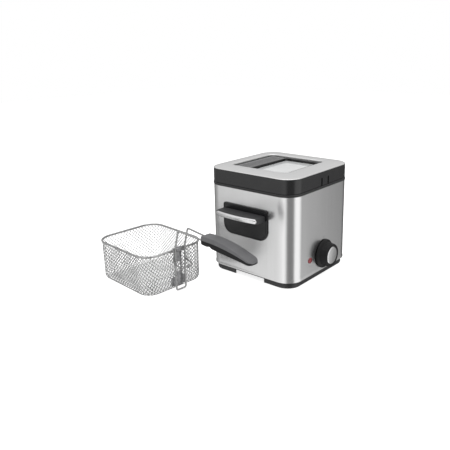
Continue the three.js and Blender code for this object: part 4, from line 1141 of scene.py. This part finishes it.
class FRYER_OT_grip(bpy.types.Operator):
    """Shape the two halves of the arched grip"""

    bl_idname = "fryer.grip"
    bl_label = "Grip"

    def execute(self, context):
        b = basket_sizes()
        low, high = local_box("grip_upper", BASKET)
        rear, length = high.y, high.y - low.y
        base = PIN_Z + NECK_RISE
        shares = [0, 0.004, 0.012, 0.05, 0.1, 0.14, 0.16, 0.18, 0.2, 0.22, 0.25]
        shares += [0.3 + 0.05 * n for n in range(11)]
        shares += [0.85, 0.89, 0.92, 0.945, 0.965, 0.98, 0.99, 0.997, 1.0]

        def rounding(left, radius):
            """How much narrower a rounded end is at a distance from its tip."""
            if left >= radius:
                return 0.0
            return radius - math.sqrt(max(0.0, radius**2 - (radius - left) ** 2))

        def half_width(t):
            full = b.grip_width / 2 - 0.8 * (t - 0.3) ** 2
            return full - rounding((1 - t) * length, 9.0) - rounding(t * length, 1.5)

        def shell(name, top, bottom, soft, slot, node, look=None):
            levels = []
            for t in shares:
                over, under = top(t), bottom(t)
                tall = max(0.5, (over - under) / 2)
                half = half_width(t)
                corners = tuple(min(c, tall * 0.9, half * 0.9) for c in soft)
                levels.append((half, tall, corners, t * length, (0, (over + under) / 2)))
            piece = rings(name, levels, 6)
            along = Matrix(((1, 0, 0, 0), (0, 0, -1, rear * MM), (0, 1, 0, base * MM), (0, 0, 0, 1)))
            fit_out(piece, "basket_handle", slot, (node,), BASKET @ along, look, soft=60)

        def notch(t):
            return 2.6 * math.exp(-(((t * length - 20) / 4.0) ** 2))

        # the upper shell takes grip_top, whose light base colour is a painted reflection on black plastic, not a
        # lighter plastic
        shell(
            "grip_upper_moulded",
            lambda t: curve_at(t, 4.8, 9, -13.5) - 2.5 * max(0.0, (t - 0.93) / 0.07) ** 2,
            lambda t: curve_at(t, -2.6, -0.6, -15.6),
            (2.4, 0.3), "grip_top", "grip_upper",
        )
        shell(
            "grip_lower_moulded",
            lambda t: curve_at(t, -3.0, -1.0, -16),
            lambda t: curve_at(t, -10.8, -16, -19.4) + notch(t) + 1.5 * max(0.0, (t - 0.93) / 0.07) ** 2,
            (0.3, 3.4), "black_plastic", "grip_lower", "knob_black",
        )
        return {"FINISHED"}


# ---- operator: stage

# brightness of the surrounding walls, by direction in degrees from +X
STUDIO_WALLS = [
    (-180, 0.85), (-170, 1.0), (-156, 0.85), (-145, 0.2), (-104, 0.2), (-92, 1.0), (-54, 0.95), (-44, 0.5),
    (-34, 0.34), (-28, 0.22), (-10, 0.1), (60, 0.13), (110, 0.35), (130, 0.6), (150, 0.75), (180, 0.85),
]
CEILING = (0.62, 0.62, 0.62, 1)
CAMERA_SHIFT = -0.0333, -0.0778


class FRYER_OT_stage(bpy.types.Operator):
    """Lay the pale floor, set the soft light and place the camera"""

    bl_idname = "fryer.stage"
    bl_label = "Stage"

    def execute(self, context):
        look = context.scene.stage_look
        deselect()
        bpy.ops.mesh.primitive_plane_add(size=look.floor_width)
        floor = named(context.object, "floor")
        glow = {"Emission_Color": (1, 1, 1, 1), "Emission_Strength": 0.8}
        pale = finish("pale_floor", (0.7, 0.7, 0.7), 0.9, Specular_IOR_Level=0.1, **glow)
        floor.data.materials.append(pale)
        floor.visible_glossy = False

        world = bpy.data.worlds.new("studio")
        context.scene.world = world
        world.use_nodes = True
        nodes, links = world.node_tree.nodes, world.node_tree.links
        background = nodes["Background"]
        source = nodes.new("ShaderNodeTexCoord")
        compass = nodes.new("ShaderNodeTexGradient")
        compass.gradient_type = "RADIAL"
        links.new(source.outputs["Generated"], compass.inputs["Vector"])
        walls = nodes.new("ShaderNodeValToRGB")
        walls.color_ramp.interpolation = "EASE"
        while len(walls.color_ramp.elements) < len(STUDIO_WALLS):
            walls.color_ramp.elements.new(0.5)
        for element, (degrees, value) in zip(walls.color_ramp.elements, STUDIO_WALLS):
            element.position = degrees / 360 + 0.5
            element.color = (value, value, value, 1)
        links.new(compass.outputs["Fac"], walls.inputs["Fac"])
        split = nodes.new("ShaderNodeSeparateXYZ")
        links.new(source.outputs["Generated"], split.inputs["Vector"])
        rise = nodes.new("ShaderNodeMapRange")
        rise.interpolation_type = "SMOOTHSTEP"
        rise.inputs["From Min"].default_value = 0.02
        rise.inputs["From Max"].default_value = 0.3
        links.new(split.outputs["Z"], rise.inputs["Value"])
        mix = nodes.new("ShaderNodeMix")
        mix.data_type = "RGBA"
        links.new(rise.outputs["Result"], mix.inputs[0])
        links.new(walls.outputs["Color"], mix.inputs[6])
        mix.inputs[7].default_value = CEILING
        links.new(mix.outputs[2], background.inputs["Color"])
        background.inputs["Strength"].default_value = 1.3 * look.room_light
        backdrop = nodes.new("ShaderNodeBackground")
        backdrop.inputs["Color"].default_value = (1, 1, 1, 1)
        path = nodes.new("ShaderNodeLightPath")
        choose = nodes.new("ShaderNodeMixShader")
        links.new(path.outputs["Is Camera Ray"], choose.inputs[0])
        links.new(background.outputs["Background"], choose.inputs[1])
        links.new(backdrop.outputs["Background"], choose.inputs[2])
        links.new(choose.outputs["Shader"], nodes["World Output"].inputs["Surface"])

        centre = FRYER.translation
        light = bpy.data.lights.new("overhead", "AREA")
        light.shape = "RECTANGLE"
        light.size = light.size_y = 1.6
        light.energy = look.overhead_light
        lamp = bpy.data.objects.new("overhead", light)
        context.scene.collection.objects.link(lamp)
        offset = Vector((-0.2, -0.2, 1.3))
        lamp.location = centre + offset
        lamp.rotation_euler = (-offset).to_track_quat("-Z", "Y").to_euler()

        camera = bpy.data.objects.new("camera", bpy.data.cameras.new("camera"))
        context.scene.collection.objects.link(camera)
        camera.data.lens = look.lens
        camera.data.sensor_width = 36
        camera.data.shift_x, camera.data.shift_y = CAMERA_SHIFT
        camera.data.dof.use_dof = False
        heading, pitch, roll = (math.radians(v) for v in (look.heading, look.pitch, look.roll))
        level = Vector((-math.sin(heading), math.cos(heading), 0)) * math.cos(pitch)
        ahead = level + Vector((0, 0, math.sin(pitch)))
        side = ahead.cross(Vector((0, 0, 1))).normalized()
        top = side.cross(ahead)
        right = side * math.cos(roll) + top * math.sin(roll)
        up = top * math.cos(roll) - side * math.sin(roll)
        axes = Matrix((right, up, -ahead)).transposed().to_4x4()
        camera.matrix_world = Matrix.Translation(centre + Vector(look.camera_place)) @ axes
        context.scene.camera = camera
        context.scene.view_settings.view_transform = "Standard"
        return {"FINISHED"}


class FRYER_PT_panel(bpy.types.Panel):
    """Build steps, in order"""

    bl_idname = "FRYER_PT_panel"
    bl_label = "Deep fryer"
    bl_space_type = "VIEW_3D"
    bl_region_type = "UI"
    bl_category = "Fryer"

    def draw(self, context):
        for step in STEPS:
            self.layout.operator(step.bl_idname)
        for group in GROUPS:
            box = self.layout.box()
            settings = getattr(context.scene, group)
            for key in settings.bl_rna.properties.keys():
                if key not in {"rna_type", "name"}:
                    box.prop(settings, key)


GROUPS = {
    "fryer_sizes": FryerSizes,
    "basket_sizes": BasketSizes,
    "finish_look": FinishLook,
    "stage_look": StageLook,
}
STEPS = (
    FRYER_OT_finishes,
    FRYER_OT_stage,
    FRYER_OT_casing,
    FRYER_OT_collar,
    FRYER_OT_base,
    FRYER_OT_bowl,
    FRYER_OT_lid,
    FRYER_OT_window,
    FRYER_OT_handles,
    FRYER_OT_knob,
    FRYER_OT_lamp,
    FRYER_OT_weave,
    FRYER_OT_basket_frame,
    FRYER_OT_handle_wires,
    FRYER_OT_grip,
)


def register():
    for kind in (*GROUPS.values(), *STEPS, FRYER_PT_panel):
        bpy.utils.register_class(kind)
    for key, kind in GROUPS.items():
        setattr(bpy.types.Scene, key, PointerProperty(type=kind))


def unregister():
    for key in GROUPS:
        delattr(bpy.types.Scene, key)
    for kind in reversed((*GROUPS.values(), *STEPS, FRYER_PT_panel)):
        bpy.utils.unregister_class(kind)


def main():
    register()
    for step in STEPS:
        group, action = step.bl_idname.split(".")
        getattr(getattr(bpy.ops, group), action)()


if __name__ == "__main__":
    main()
